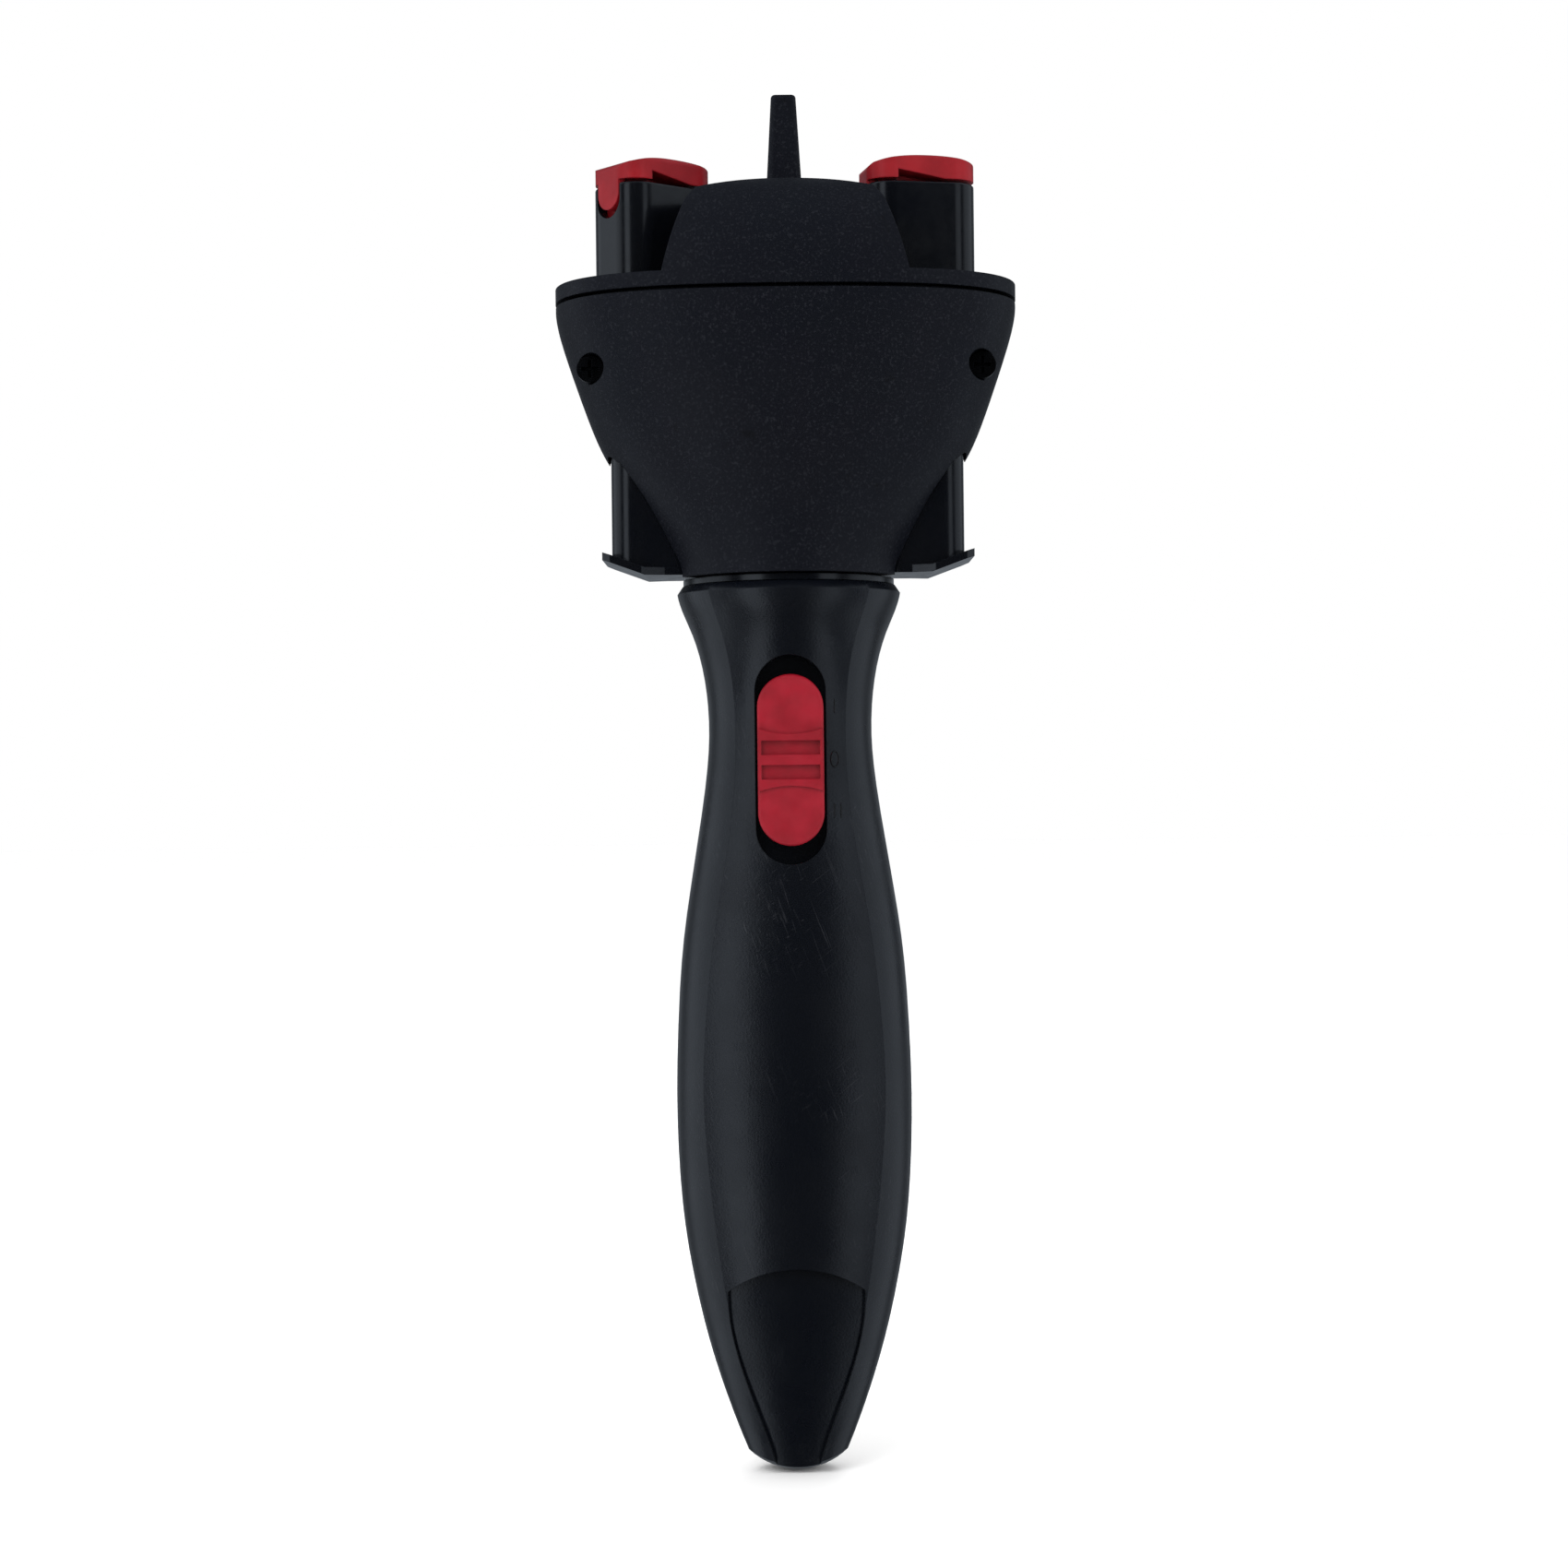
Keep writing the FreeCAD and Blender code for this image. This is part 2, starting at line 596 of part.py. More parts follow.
def switch_slider():
    """Black plate that moves with the button and closes the slot's ends."""
    plate = box(-7.8, 7.8, SLIDER_BACK_Y - 1, SLIDER_BACK_Y, SWITCH_Z - SLIDER_HALF_HEIGHT,
                SWITCH_Z + SLIDER_HALF_HEIGHT)
    peg = box(-0.9, 0.9, SLIDER_BACK_Y, -9.0, SWITCH_Z - 1.5, SWITCH_Z + 1.5)
    return join([plate, peg])


def switch_button():
    """Red thumb pad with round ends: three cross ribs, grooves between them, bowed pads."""
    half_length = BUTTON_LENGTH / 2
    half_width = BUTTON_WIDTH / 2
    pad_face = BUTTON_FACE_Y + PAD_DEPTH
    body = stadium(half_length, half_width, pad_face, SLIDER_BACK_Y - 1, SWITCH_Z)
    front = [edge for edge in body.Edges
             if all(abs(vertex.Y - pad_face) < 0.01 for vertex in edge.Vertexes)]
    body = body.makeFillet(0.6, front)
    side = half_width - 0.25
    ribs = box(-side, side, BUTTON_FACE_Y, pad_face + 1, SWITCH_Z - 7, SWITCH_Z + 7)
    for sign in (-1, 1):
        bow = rod_along_y(PAD_BOW_RADIUS, -20, 0, 0, SWITCH_Z + sign * PAD_BOW_OFFSET)
        ribs = ribs.cut(bow)
    button = join([body, ribs])
    for sign in (-1, 1):
        ends = sorted((sign * MIDDLE_RIB_HALF, sign * OUTER_RIB_START))
        groove = box(-side + 0.5, side - 0.5, -20, BUTTON_FACE_Y + GROOVE_DEPTH,
                     SWITCH_Z + ends[0], SWITCH_Z + ends[1])
        button = button.cut(groove)
    return button


def motor_can():
    outside = motor_outline(0.0, MOTOR_BOTTOM, MOTOR_TOP)
    inside = motor_outline(-0.5, MOTOR_BOTTOM - 1, MOTOR_TOP - 1)
    return outside.cut(inside).cut(rod(MOTOR_SHAFT + 0.04, MOTOR_TOP - 2, MOTOR_TOP + 1))


def motor_end_cap():
    cap = motor_outline(0.0, MOTOR_BOTTOM - 2, MOTOR_BOTTOM)
    return cap.cut(rod(MOTOR_SHAFT + 0.04, MOTOR_BOTTOM - 3, MOTOR_BOTTOM + 1))


def motor_magnets():
    halves = []
    shell = ring(7.2, 5.4, 129, 146)
    for sign in (-1, 1):
        side = box(min(0, sign * 9), max(0, sign * 9), -4.2, 4.2, 129, 146)
        halves.append(shell.common(side))
    return halves


def motor_rotor():
    """Motor shaft with the armature, the commutator and the first sun gear's seat."""
    shaft = rod(MOTOR_SHAFT, 121.8, STAGE_BOTTOMS[0] + GEAR_WIDTH + 0.2)
    stack = rod(5.0, 129.5, 145.5)
    for index in range(3):
        slot = box(-0.6, 0.6, 2.4, 6, 129, 146)
        slot.rotate(Vector(0, 0, 0), Z_AXIS, 120 * index)
        stack = stack.cut(slot)
    commutator = rod(2.4, 125.2, 128.2)
    return join([shaft, stack, commutator])


# ---------------------------------------------------------------- gearbox

def box_gear(teeth, z0, z1, phase=0.0):
    return gear(teeth, BOX_MODULE, z0, z1, 0.85 * BOX_MODULE, BOX_MODULE, 0.1, phase)


def motor_pinion():
    low = STAGE_BOTTOMS[0]
    return box_gear(SUN_TEETH, low, low + GEAR_WIDTH).cut(rod(MOTOR_SHAFT, low - 1, low + 9))


def planet(stage, index):
    """Planet gear at its place round the sun, with a gap facing the sun's tooth."""
    low = STAGE_BOTTOMS[stage]
    wheel = box_gear(PLANET_TEETH, low, low + GEAR_WIDTH, 180 / PLANET_TEETH)
    wheel = wheel.cut(rod(PIN_RADIUS + FIT, low - 1, low + GEAR_WIDTH + 1))
    wheel.translate(Vector(PLANET_ORBIT, 0, 0))
    wheel.rotate(Vector(0, 0, 0), Z_AXIS, 360 / PLANET_COUNT * index)
    return wheel


def carrier(stage):
    """Plate above a stage's planets, with a pin down through each of them."""
    low = CARRIER_BOTTOMS[stage]
    pieces = [rod(CARRIER_RADIUS, low, low + CARRIER_THICKNESS[stage])]
    for index in range(PLANET_COUNT):
        pin = rod(PIN_RADIUS, STAGE_BOTTOMS[stage] - 0.2, low + 0.5, PLANET_ORBIT, 0)
        pin.rotate(Vector(0, 0, 0), Z_AXIS, 360 / PLANET_COUNT * index)
        pieces.append(pin)
    return join(pieces)


def first_carrier():
    """First stage's carrier, with the second sun gear on top of it."""
    top = CARRIER_BOTTOMS[0] + CARRIER_THICKNESS[0]
    sun = box_gear(SUN_TEETH, top - 0.3, STAGE_BOTTOMS[1] + GEAR_WIDTH)
    return join([carrier(0), sun])


def second_carrier():
    return carrier(1).cut(rod(SHAFT_RADIUS, CARRIER_BOTTOMS[1], BOX_TOP))


def ring_gear():
    """Gearbox housing: a floor on the motor and teeth inside along the rest of it."""
    spaces = gear(RING_TEETH, BOX_MODULE, BOX_BOTTOM, BOX_TOP, BOX_MODULE, 0.6 * BOX_MODULE,
                  -0.1, 180 / RING_TEETH)
    floor = ring(BOX_RADIUS, MOTOR_SHAFT + 0.6, MOTOR_TOP, BOX_BOTTOM)
    return rod(BOX_RADIUS, BOX_BOTTOM, BOX_TOP).cut(spaces).fuse(floor)


def gearbox_lid():
    return ring(BOX_RADIUS, SHAFT_RADIUS + FIT, BOX_TOP, BOX_LID_TOP)


# ---------------------------------------------------------------- neck and drive line

def drive_shaft():
    return rod(SHAFT_RADIUS, CARRIER_BOTTOMS[1], SHAFT_TOP)


def neck_sleeve():
    """Fixed flanged tube in the handle's top, which the whole head turns on."""
    flange = rod(SLEEVE_FLANGE_RADIUS, SLEEVE_FLANGE_BOTTOM, SLEEVE_FLANGE_TOP)
    rim = rod(SLEEVE_RIM_RADIUS, HANDLE_BEVEL_TOP + FIT, SLEEVE_FLANGE_TOP)
    sleeve = join([flange, rim, rod(SLEEVE_RADIUS, SLEEVE_FLANGE_TOP, SLEEVE_TOP)])
    sleeve = sleeve.cut(rod(SLEEVE_BORE, SLEEVE_FLANGE_BOTTOM, SLEEVE_TOP))
    groove = ring(SLEEVE_RADIUS + 1, RETAINER_SEAT, RETAINER_BOTTOM, RETAINER_TOP)
    sleeve = sleeve.cut(groove)
    for x in (-NECK_SCREW_OFFSET, NECK_SCREW_OFFSET):
        for y in (-NECK_SCREW_OFFSET, NECK_SCREW_OFFSET):
            sleeve = sleeve.cut(rod(1.0, SLEEVE_FLANGE_BOTTOM, SLEEVE_FLANGE_TOP, x, y))
            sleeve = sleeve.cut(rod(2.0, SLEEVE_FLANGE_TOP - 1.4, SLEEVE_FLANGE_TOP, x, y))
    return sleeve


def neck_screws():
    face = SLEEVE_FLANGE_TOP - 0.2
    offsets = (-NECK_SCREW_OFFSET, NECK_SCREW_OFFSET)
    return [screw_toward("-z", x, y, face, 5.0, 0.9, 1.8, 1.2) for x in offsets for y in offsets]


def sleeve_bushes():
    ends = ((SLEEVE_FLANGE_BOTTOM, SLEEVE_FLANGE_BOTTOM + 5), (SLEEVE_TOP - 5, SLEEVE_TOP))
    return [ring(SLEEVE_BORE, SHAFT_RADIUS + FIT, low, high) for low, high in ends]


def retaining_ring():
    """Open ring in the sleeve's groove, which keeps the head on the neck."""
    snap = ring(SLEEVE_RADIUS + 1.8, RETAINER_SEAT, RETAINER_BOTTOM, RETAINER_TOP)
    return snap.cut(box(-2, 2, -12, 0, RETAINER_BOTTOM - 1, RETAINER_TOP + 1))


def ratchet_wheel(tip, bore, z0, z1):
    """Saw-toothed wheel: each tooth climbs slowly and drops straight back."""
    points = []
    for tooth in range(RATCHET_TEETH):
        start = 2 * math.pi * tooth / RATCHET_TEETH
        for radius in (tip - 1.0, tip):
            turn = start + (0 if radius < tip else 2 * math.pi / RATCHET_TEETH)
            points.append(Vector(radius * math.cos(turn), radius * math.sin(turn), z0))
    outline = Part.makePolygon(points + [points[0]])
    wheel = Part.Face(outline).extrude(Vector(0, 0, z1 - z0))
    return wheel.cut(rod(bore, z0, z1))


def pawl(pivot, ratchet_tip, z0, z1):
    """Catch on a pivot at (0, pivot), with its beak lifted just clear of the teeth."""
    beak_x = 5.0
    beak_y = math.sqrt((ratchet_tip + PAWL_LIFT) ** 2 - beak_x ** 2)
    eye = rod(2.2, z0, z1, 0, pivot)
    arm = box(0, beak_x + 1.4, pivot - 2.4, pivot - 0.8, z0, z1)
    beak = box(beak_x, beak_x + 1.4, beak_y, pivot - 0.8, z0, z1)
    return join([eye, arm, beak]).cut(rod(PAWL_PIN + FIT, z0, z1, 0, pivot))


def half_turn(shape):
    turned = shape.copy()
    turned.rotate(Vector(0, 0, 0), Z_AXIS, 180)
    return turned


def head_hub():
    """Bearing tube of the head, with a flange on the casing's floor and one for the pawl."""
    hub = rod(HUB_RADIUS, HUB_BOTTOM, HUB_TOP)
    low_flange = rod(14.8, HEAD_BOTTOM + WALL, HEAD_BOTTOM + WALL + 3)
    high_flange = rod(17.0, HUB_TOP - 3, HUB_TOP - 0.7).common(box(-15.6, 15.6, -20, 20, 190, 210))
    post = rod(PAWL_PIN, HUB_TOP - 1, 206, 0, NECK_PAWL_PIVOT)
    hub = join([hub, low_flange, high_flange, post])
    hub = hub.cut(rod(SLEEVE_RADIUS + FIT, HUB_BOTTOM, HUB_TOP))
    for x, y in hub_screw_places():
        hub = hub.cut(rod(0.95, HEAD_BOTTOM, HEAD_BOTTOM + 6, x, y))
    return hub


def hub_screw_places():
    return [(x, y) for x in (-9.6, 9.6) for y in (-9.6, 9.6)]


def hub_screws():
    return [screw_toward("+z", x, y, HEAD_BOTTOM + 0.1, 3.6, 0.9, 1.8, 1.2)
            for x, y in hub_screw_places()]


# ---------------------------------------------------------------- head casing

def oval(half_x, half_y, roundness, height):
    """Closed oval outline from four Bezier quarters."""
    def at(x, y):
        return Vector(x, y, height)

    quarters = []
    for sx, sy in ((1, 1), (-1, 1), (-1, -1), (1, -1)):
        poles = [at(sx * half_x, 0), at(sx * half_x, sy * roundness * half_y),
                 at(sx * roundness * half_x, sy * half_y), at(0, sy * half_y)]
        quarters.append(poles if sx * sy > 0 else list(reversed(poles)))
    return Part.Wire([bezier(poles) for poles in quarters])


def oval_block(half_x, half_y, roundness, z0, z1):
    return Part.Face(oval(half_x, half_y, roundness, z0)).extrude(Vector(0, 0, z1 - z0))


def head_solid(z0, z1, inset):
    heights = [z0] + [height for height in HEAD_SECTIONS if z0 < height < z1] + [z1]
    outlines = [oval(profile(HEAD_HALF_WIDTH, height) - inset,
                     profile(HEAD_HALF_DEPTH, height) - inset,
                     profile(HEAD_ROUND, height), height) for height in heights]
    return Part.makeLoft(outlines, True, False)


def lever_block(gap, z0, z1):
    """Right-hand lever's rounded plan, grown by a gap."""
    middle = (LEVER_INNER_X + LEVER_OUTER_X) / 2
    half_x = (LEVER_OUTER_X - LEVER_INNER_X) / 2 + gap
    return rounded_rectangle(half_x, LEVER_HALF_DEPTH + gap, LEVER_CORNER + gap, z0, z1, middle)


def head_blank():
    """Both casing halves in one piece: funnel walls, lever pockets, ledge and bosses."""
    outside = head_solid(HEAD_BOTTOM, HEAD_TOP, 0)
    walls = outside.cut(head_solid(HEAD_BOTTOM + WALL, HEAD_TOP, WALL))
    tunnel = lever_block(POCKET_GAP + POCKET_WALL, HEAD_BOTTOM, POCKET_TOP).common(outside)
    ledge = head_solid(CHASSIS_BOTTOM - 2, CHASSIS_BOTTOM, WALL - 0.3)
    ledge = ledge.cut(oval_block(38.2, 20.2, 0.67, CHASSIS_BOTTOM - 3, CHASSIS_TOP))
    bosses = [rod_along_y(3.2, -30, 30, sign * HEAD_SCREW_X, HEAD_SCREW_Z).common(outside)
              for sign in (-1, 1)]
    blank = join([walls, tunnel, mirrored(tunnel), ledge] + bosses)
    pocket = lever_block(POCKET_GAP, HEAD_BOTTOM - 5, POCKET_TOP + 1)
    pocket = pocket.fuse(box(30, 40, -9.2, 9.2, HEAD_BOTTOM, 197.6))
    window = box(15.5, 18, -3.2, 3.2, LEVER_TOP - 2.7, POCKET_TOP + 1)
    for opening in (pocket, window):
        blank = blank.cut(opening).cut(mirrored(opening))
    blank = blank.cut(rod(HUB_RADIUS, HEAD_BOTTOM - 1, HEAD_BOTTOM + WALL + 1))
    for x, y in hub_screw_places():
        blank = blank.cut(rod(1.0, HEAD_BOTTOM - 1, HEAD_BOTTOM + WALL + 1, x, y))
        blank = blank.cut(rod(2.0, HEAD_BOTTOM - 1, HEAD_BOTTOM + 1.4, x, y))
    for sign in (-1, 1):
        x = sign * HEAD_SCREW_X
        blank = blank.cut(rod_along_y(1.4, -20, 9, x, HEAD_SCREW_Z))
        blank = blank.cut(rod_along_y(2.85, -30, -10.8, x, HEAD_SCREW_Z))
    return blank


def front_casing(blank):
    return blank.common(box(-60, 60, -40, -SEAM / 2, 170, 235))


def back_casing(blank):
    return blank.common(box(-60, 60, SEAM / 2, 40, 170, 235))


def head_screws():
    return [screw_toward("+y", sign * HEAD_SCREW_X, -12.6, HEAD_SCREW_Z, 18.5)
            for sign in (-1, 1)]


def chassis_plate():
    """Plate that carries the clamp journals and the drive shaft's upper bearing."""
    plate = oval_block(40.6, 22.5, 0.67, CHASSIS_BOTTOM, CHASSIS_TOP)
    plate = plate.fuse(rod(6.0, CHASSIS_BOTTOM - 2, CHASSIS_BOTTOM))
    post = rod(PAWL_PIN, DRIVE_RATCHET_BOTTOM - 0.6, CHASSIS_BOTTOM + 1, 0, -DRIVE_PAWL_PIVOT)
    plate = plate.fuse(post)
    plate = plate.cut(rod(SHAFT_RADIUS + FIT, CHASSIS_BOTTOM - 2, CHASSIS_TOP))
    for sign in (-1, 1):
        plate = plate.cut(rod(6.0 + FIT, CHASSIS_BOTTOM, CHASSIS_TOP, sign * CLAMP_X))
        plate = plate.cut(rod(1.0, CHASSIS_BOTTOM, CHASSIS_TOP, 0, sign * COVER_SCREW_Y))
    return plate


def dome_form(inset):
    """Solid dome: its front outline crossed with its depth, before the clamps' clearance."""
    depths = ((COVER_TOP - 3, COVER_HALF_DEPTH), (236, 25.7), (241, 24.2), (246, 21.4),
              (249, 18.6), (DOME_TOP, 15.4))
    outlines = [oval(COVER_HALF_WIDTH - inset, depth - inset, COVER_ROUND, height - inset)
                for height, depth in depths]
    depth_form = Part.makeLoft(outlines, True, False)
    right_points = [Vector(x - inset, -40, z) for x, z in DOME_SIDE]
    left_points = [Vector(-point.x, -40, point.z) for point in right_points]
    corner_x, corner_z = DOME_CORNER
    corners = [Vector(sign * (corner_x - inset), -40, corner_z - inset) for sign in (1, -1)]
    top = arc(corners[0], Vector(0, -40, DOME_TOP - inset - 0.02), corners[1])
    foot = [Vector(sign * (DOME_SIDE[0][0] + 0.4 - inset), -40, COVER_BOTTOM) for sign in (1, -1)]
    edges = [smooth_line(right_points), smooth_line(left_points), top,
             segment(right_points[-1], corners[0]), segment(left_points[-1], corners[1]),
             segment(right_points[0], foot[0]), segment(left_points[0], foot[1]),
             segment(foot[0], foot[1])]
    outline_form = face_of(edges).extrude(Vector(0, 80, 0))
    return depth_form.common(outline_form)


def top_cover():
    """Flat rim and dome in one moulding, hollow below, with a lip into the casing."""
    rim = oval_block(COVER_HALF_WIDTH, COVER_HALF_DEPTH, COVER_ROUND, COVER_BOTTOM, COVER_TOP)
    lip = oval_block(42.6, 23.5, COVER_ROUND, GEAR_TOP + 0.2, COVER_BOTTOM)
    dome = dome_form(0)
    dome_space = dome_form(WALL)
    for sign in (-1, 1):
        dome = dome.cut(rod(CLAMP_SWEEP, COVER_TOP, 260, sign * CLAMP_X))
        dome_space = dome_space.cut(rod(CLAMP_SWEEP + WALL, COVER_BOTTOM, 260, sign * CLAMP_X))
    cover = join([rim, lip, dome])
    cover = cover.cut(oval_block(41.2, 22.1, COVER_ROUND, GEAR_TOP, COVER_TOP - 2))
    cover = cover.cut(dome_space)
    for sign in (-1, 1):
        post = rod(3.0, CHASSIS_TOP, COVER_TOP, 0, sign * COVER_SCREW_Y)
        post_top = rod(3.0, COVER_TOP, DOME_TOP, 0, sign * COVER_SCREW_Y).common(dome_form(0.5))
        cover = join([cover, post, post_top])
    for sign in (-1, 1):
        cover = cover.cut(rod(8.0 + FIT, COVER_BOTTOM, COVER_TOP + 1, sign * CLAMP_X))
        cover = cover.cut(rod(0.9, CHASSIS_TOP, CHASSIS_TOP + 4, 0, sign * COVER_SCREW_Y))
    return cover.cut(divider_blade())


def cover_screws():
    return [screw_toward("+z", 0, sign * COVER_SCREW_Y, CHASSIS_BOTTOM - 1.2, 3.6, 0.9, 1.8, 1.2)
            for sign in (-1, 1)]


def divider_blade():
    """Tapered blade that keeps the two strands apart."""
    def outline(half_x, half_y, corner, height):
        flat = rounded_rectangle(half_x, half_y, corner, height, height + 1)
        lowest = [face for face in flat.Faces if abs(face.CenterOfMass.z - height) < 0.001]
        return lowest[0].OuterWire

    return Part.makeLoft([outline(3.7, 5.6, 1.2, 247.0), outline(2.4, 3.0, 1.0, DIVIDER_TOP)],
                         True, True)


def hair_divider():
    blade = divider_blade()
    tip = [edge for edge in blade.Edges
           if all(vertex.Z > DIVIDER_TOP - 0.01 for vertex in edge.Vertexes)]
    foot = rounded_rectangle(6.0, 8.0, 1.5, 245.6, 247.6)
    return blade.makeFillet(0.7, tip).fuse(foot).removeSplitter()


# ---------------------------------------------------------------- gears of the head

def head_gear(bore, x, phase):
    wheel = gear(GEAR_TEETH, GEAR_MODULE, GEAR_BOTTOM, GEAR_TOP, 0.95 * GEAR_MODULE,
                 1.2 * GEAR_MODULE, 0.15, phase)
    wheel = wheel.cut(rod(bore, GEAR_BOTTOM, GEAR_TOP))
    wheel.translate(Vector(x, 0, 0))
    return wheel


def drive_ratchet():
    return ratchet_wheel(DRIVE_RATCHET_TIP, SHAFT_RADIUS, DRIVE_RATCHET_BOTTOM,
                         DRIVE_RATCHET_BOTTOM + RATCHET_WIDTH)


def neck_ratchet():
    return ratchet_wheel(NECK_RATCHET_TIP, SLEEVE_RADIUS, NECK_RATCHET_BOTTOM,
                         NECK_RATCHET_BOTTOM + RATCHET_WIDTH)


def neck_pawl():
    return pawl(NECK_PAWL_PIVOT, NECK_RATCHET_TIP, NECK_RATCHET_BOTTOM,
                NECK_RATCHET_BOTTOM + RATCHET_WIDTH)


def drive_pawl():
    return half_turn(pawl(DRIVE_PAWL_PIVOT, DRIVE_RATCHET_TIP, DRIVE_RATCHET_BOTTOM,
                          DRIVE_RATCHET_BOTTOM + RATCHET_WIDTH))


# ---------------------------------------------------------------- clamps and levers

def clamp_rotor():
    """Rotating clamp body about the origin: open sheath above, stepped journal below."""
    half_length = SHEATH_LENGTH / 2
    half_depth = SHEATH_DEPTH / 2
    sheath = rounded_rectangle(half_length, half_depth, SHEATH_CORNER, SHEATH_BOTTOM, SHEATH_TOP)
    rim = [edge for edge in sheath.Edges
           if all(vertex.Z > SHEATH_TOP - 0.01 for vertex in edge.Vertexes)]
    sheath = sheath.makeFillet(0.5, rim)
    cavity = rounded_rectangle(half_length - SHEATH_WALL, half_depth - SHEATH_WALL,
                               SHEATH_CORNER - SHEATH_WALL, SHEATH_BOTTOM + 2.2, SHEATH_TOP + 1)
    notch = box(-half_length - 1, -half_length + SHEATH_WALL + 0.4, -NOTCH_HALF, NOTCH_HALF,
                NOTCH_Z, SHEATH_TOP + 1)
    notch_foot = Part.makeCylinder(NOTCH_HALF, SHEATH_WALL + 1.4,
                                   Vector(-half_length - 1, 0, NOTCH_Z), Vector(1, 0, 0))
    journals = [rod(8.0, GEAR_TOP, SHEATH_BOTTOM), rod(7.0, CHASSIS_TOP + 0.1, GEAR_TOP),
                rod(6.0, ROTOR_BOTTOM, CHASSIS_TOP + 0.1)]
    rotor = join([sheath.cut(cavity).cut(notch).cut(notch_foot)] + journals)
    rotor = rotor.cut(rod(ROD_RADIUS + FIT, ROTOR_BOTTOM, SHEATH_BOTTOM + 3))
    return rotor.cut(ring(7.0, CLIP_SEAT, CLIP_BOTTOM, CLIP_TOP))


def clamp_clip():
    clip = ring(7.6, CLIP_SEAT, CLIP_BOTTOM, CLIP_TOP)
    return clip.cut(box(-1.8, 1.8, 0, 9, CLIP_BOTTOM, CLIP_TOP))


def hook_arm():
    """Crowned jaw across the sheath's mouth, with a wedge cut in the front of its underside."""
    def at(x, z):
        return Vector(x, -10, z)

    edges = [segment(at(-10.8, HOOK_BOTTOM), at(-10.8, 254.2)),
             arc(at(-10.8, 254.2), at(-10.4, 255.2), at(-9.4, 255.7)),
             arc(at(-9.4, 255.7), at(0.4, 257.0), at(10.0, 255.8)),
             arc(at(10.0, 255.8), at(10.5, 255.5), at(10.7, 255.0)),
             segment(at(10.7, 255.0), at(10.7, HOOK_BOTTOM)),
             segment(at(10.7, HOOK_BOTTOM), at(-10.8, HOOK_BOTTOM))]
    side_form = face_of(edges).extrude(Vector(0, 20, 0))
    plan = rounded_rectangle(SHEATH_LENGTH / 2, SHEATH_DEPTH / 2 - 0.3, SHEATH_CORNER - 0.3,
                             250, HOOK_CROWN)
    crown = [edge for edge in plan.Edges
             if all(vertex.Z > HOOK_CROWN - 0.01 for vertex in edge.Vertexes)]
    arm = side_form.common(plan.makeFillet(HOOK_EDGE, crown))
    corners = [at(-5.4, HOOK_BOTTOM - 1), at(-5.4, HOOK_BOTTOM + 1.7), at(4.0, HOOK_BOTTOM),
               at(4.0, HOOK_BOTTOM - 1)]
    wedge = Part.Face(Part.makePolygon(corners + [corners[0]])).extrude(Vector(0, 8, 0))
    return arm.cut(wedge)


def hook():
    """Red strand hook about the origin: jaw, end tab, stem and the foot on the push rod."""
    half_length = SHEATH_LENGTH / 2
    tab_z = NOTCH_Z + 1.3
    tab_half = NOTCH_HALF - 0.3
    stem_top = HOOK_BOTTOM + 1
    tab = box(-half_length, -half_length + 1.6, -tab_half, tab_half, tab_z, stem_top)
    tab_end = Part.makeCylinder(tab_half, 1.6, Vector(-half_length, 0, tab_z), Vector(1, 0, 0))
    tab = tab.fuse(tab_end)
    tab = tab.common(rounded_rectangle(half_length, SHEATH_DEPTH / 2, SHEATH_CORNER, 240, 260))
    stem = box(-8.6, -5.4, -3.2, 3.2, HOOK_FOOT_BOTTOM, stem_top)
    foot = box(-8.2, 4.0, -4.0, 4.0, HOOK_FOOT_BOTTOM, HOOK_FOOT_BOTTOM + 3)
    piece = join([hook_arm(), tab, stem, foot])
    return piece.cut(rod(ROD_RADIUS, HOOK_FOOT_BOTTOM, HOOK_FOOT_BOTTOM + 3))


def push_rod():
    """Steel rod through the clamp, with the button that the lever pushes."""
    return rod(ROD_RADIUS, ROD_BOTTOM, HOOK_FOOT_BOTTOM + 3).fuse(rod(5.0, ROD_BOTTOM, BUTTON_TOP))


def return_spring():
    return coil_spring(4.4, 0.8, BUTTON_TOP, ROTOR_BOTTOM, 6, 0, 0)


def placed_clamp_piece(shape, side):
    """Turns a clamp's piece to its resting angle and moves it to its side."""
    piece = shape.copy()
    piece.rotate(Vector(0, 0, 0), Z_AXIS, CLAMP_ANGLE[side])
    piece.translate(Vector(-CLAMP_X if side == "left" else CLAMP_X, 0, 0))
    return piece


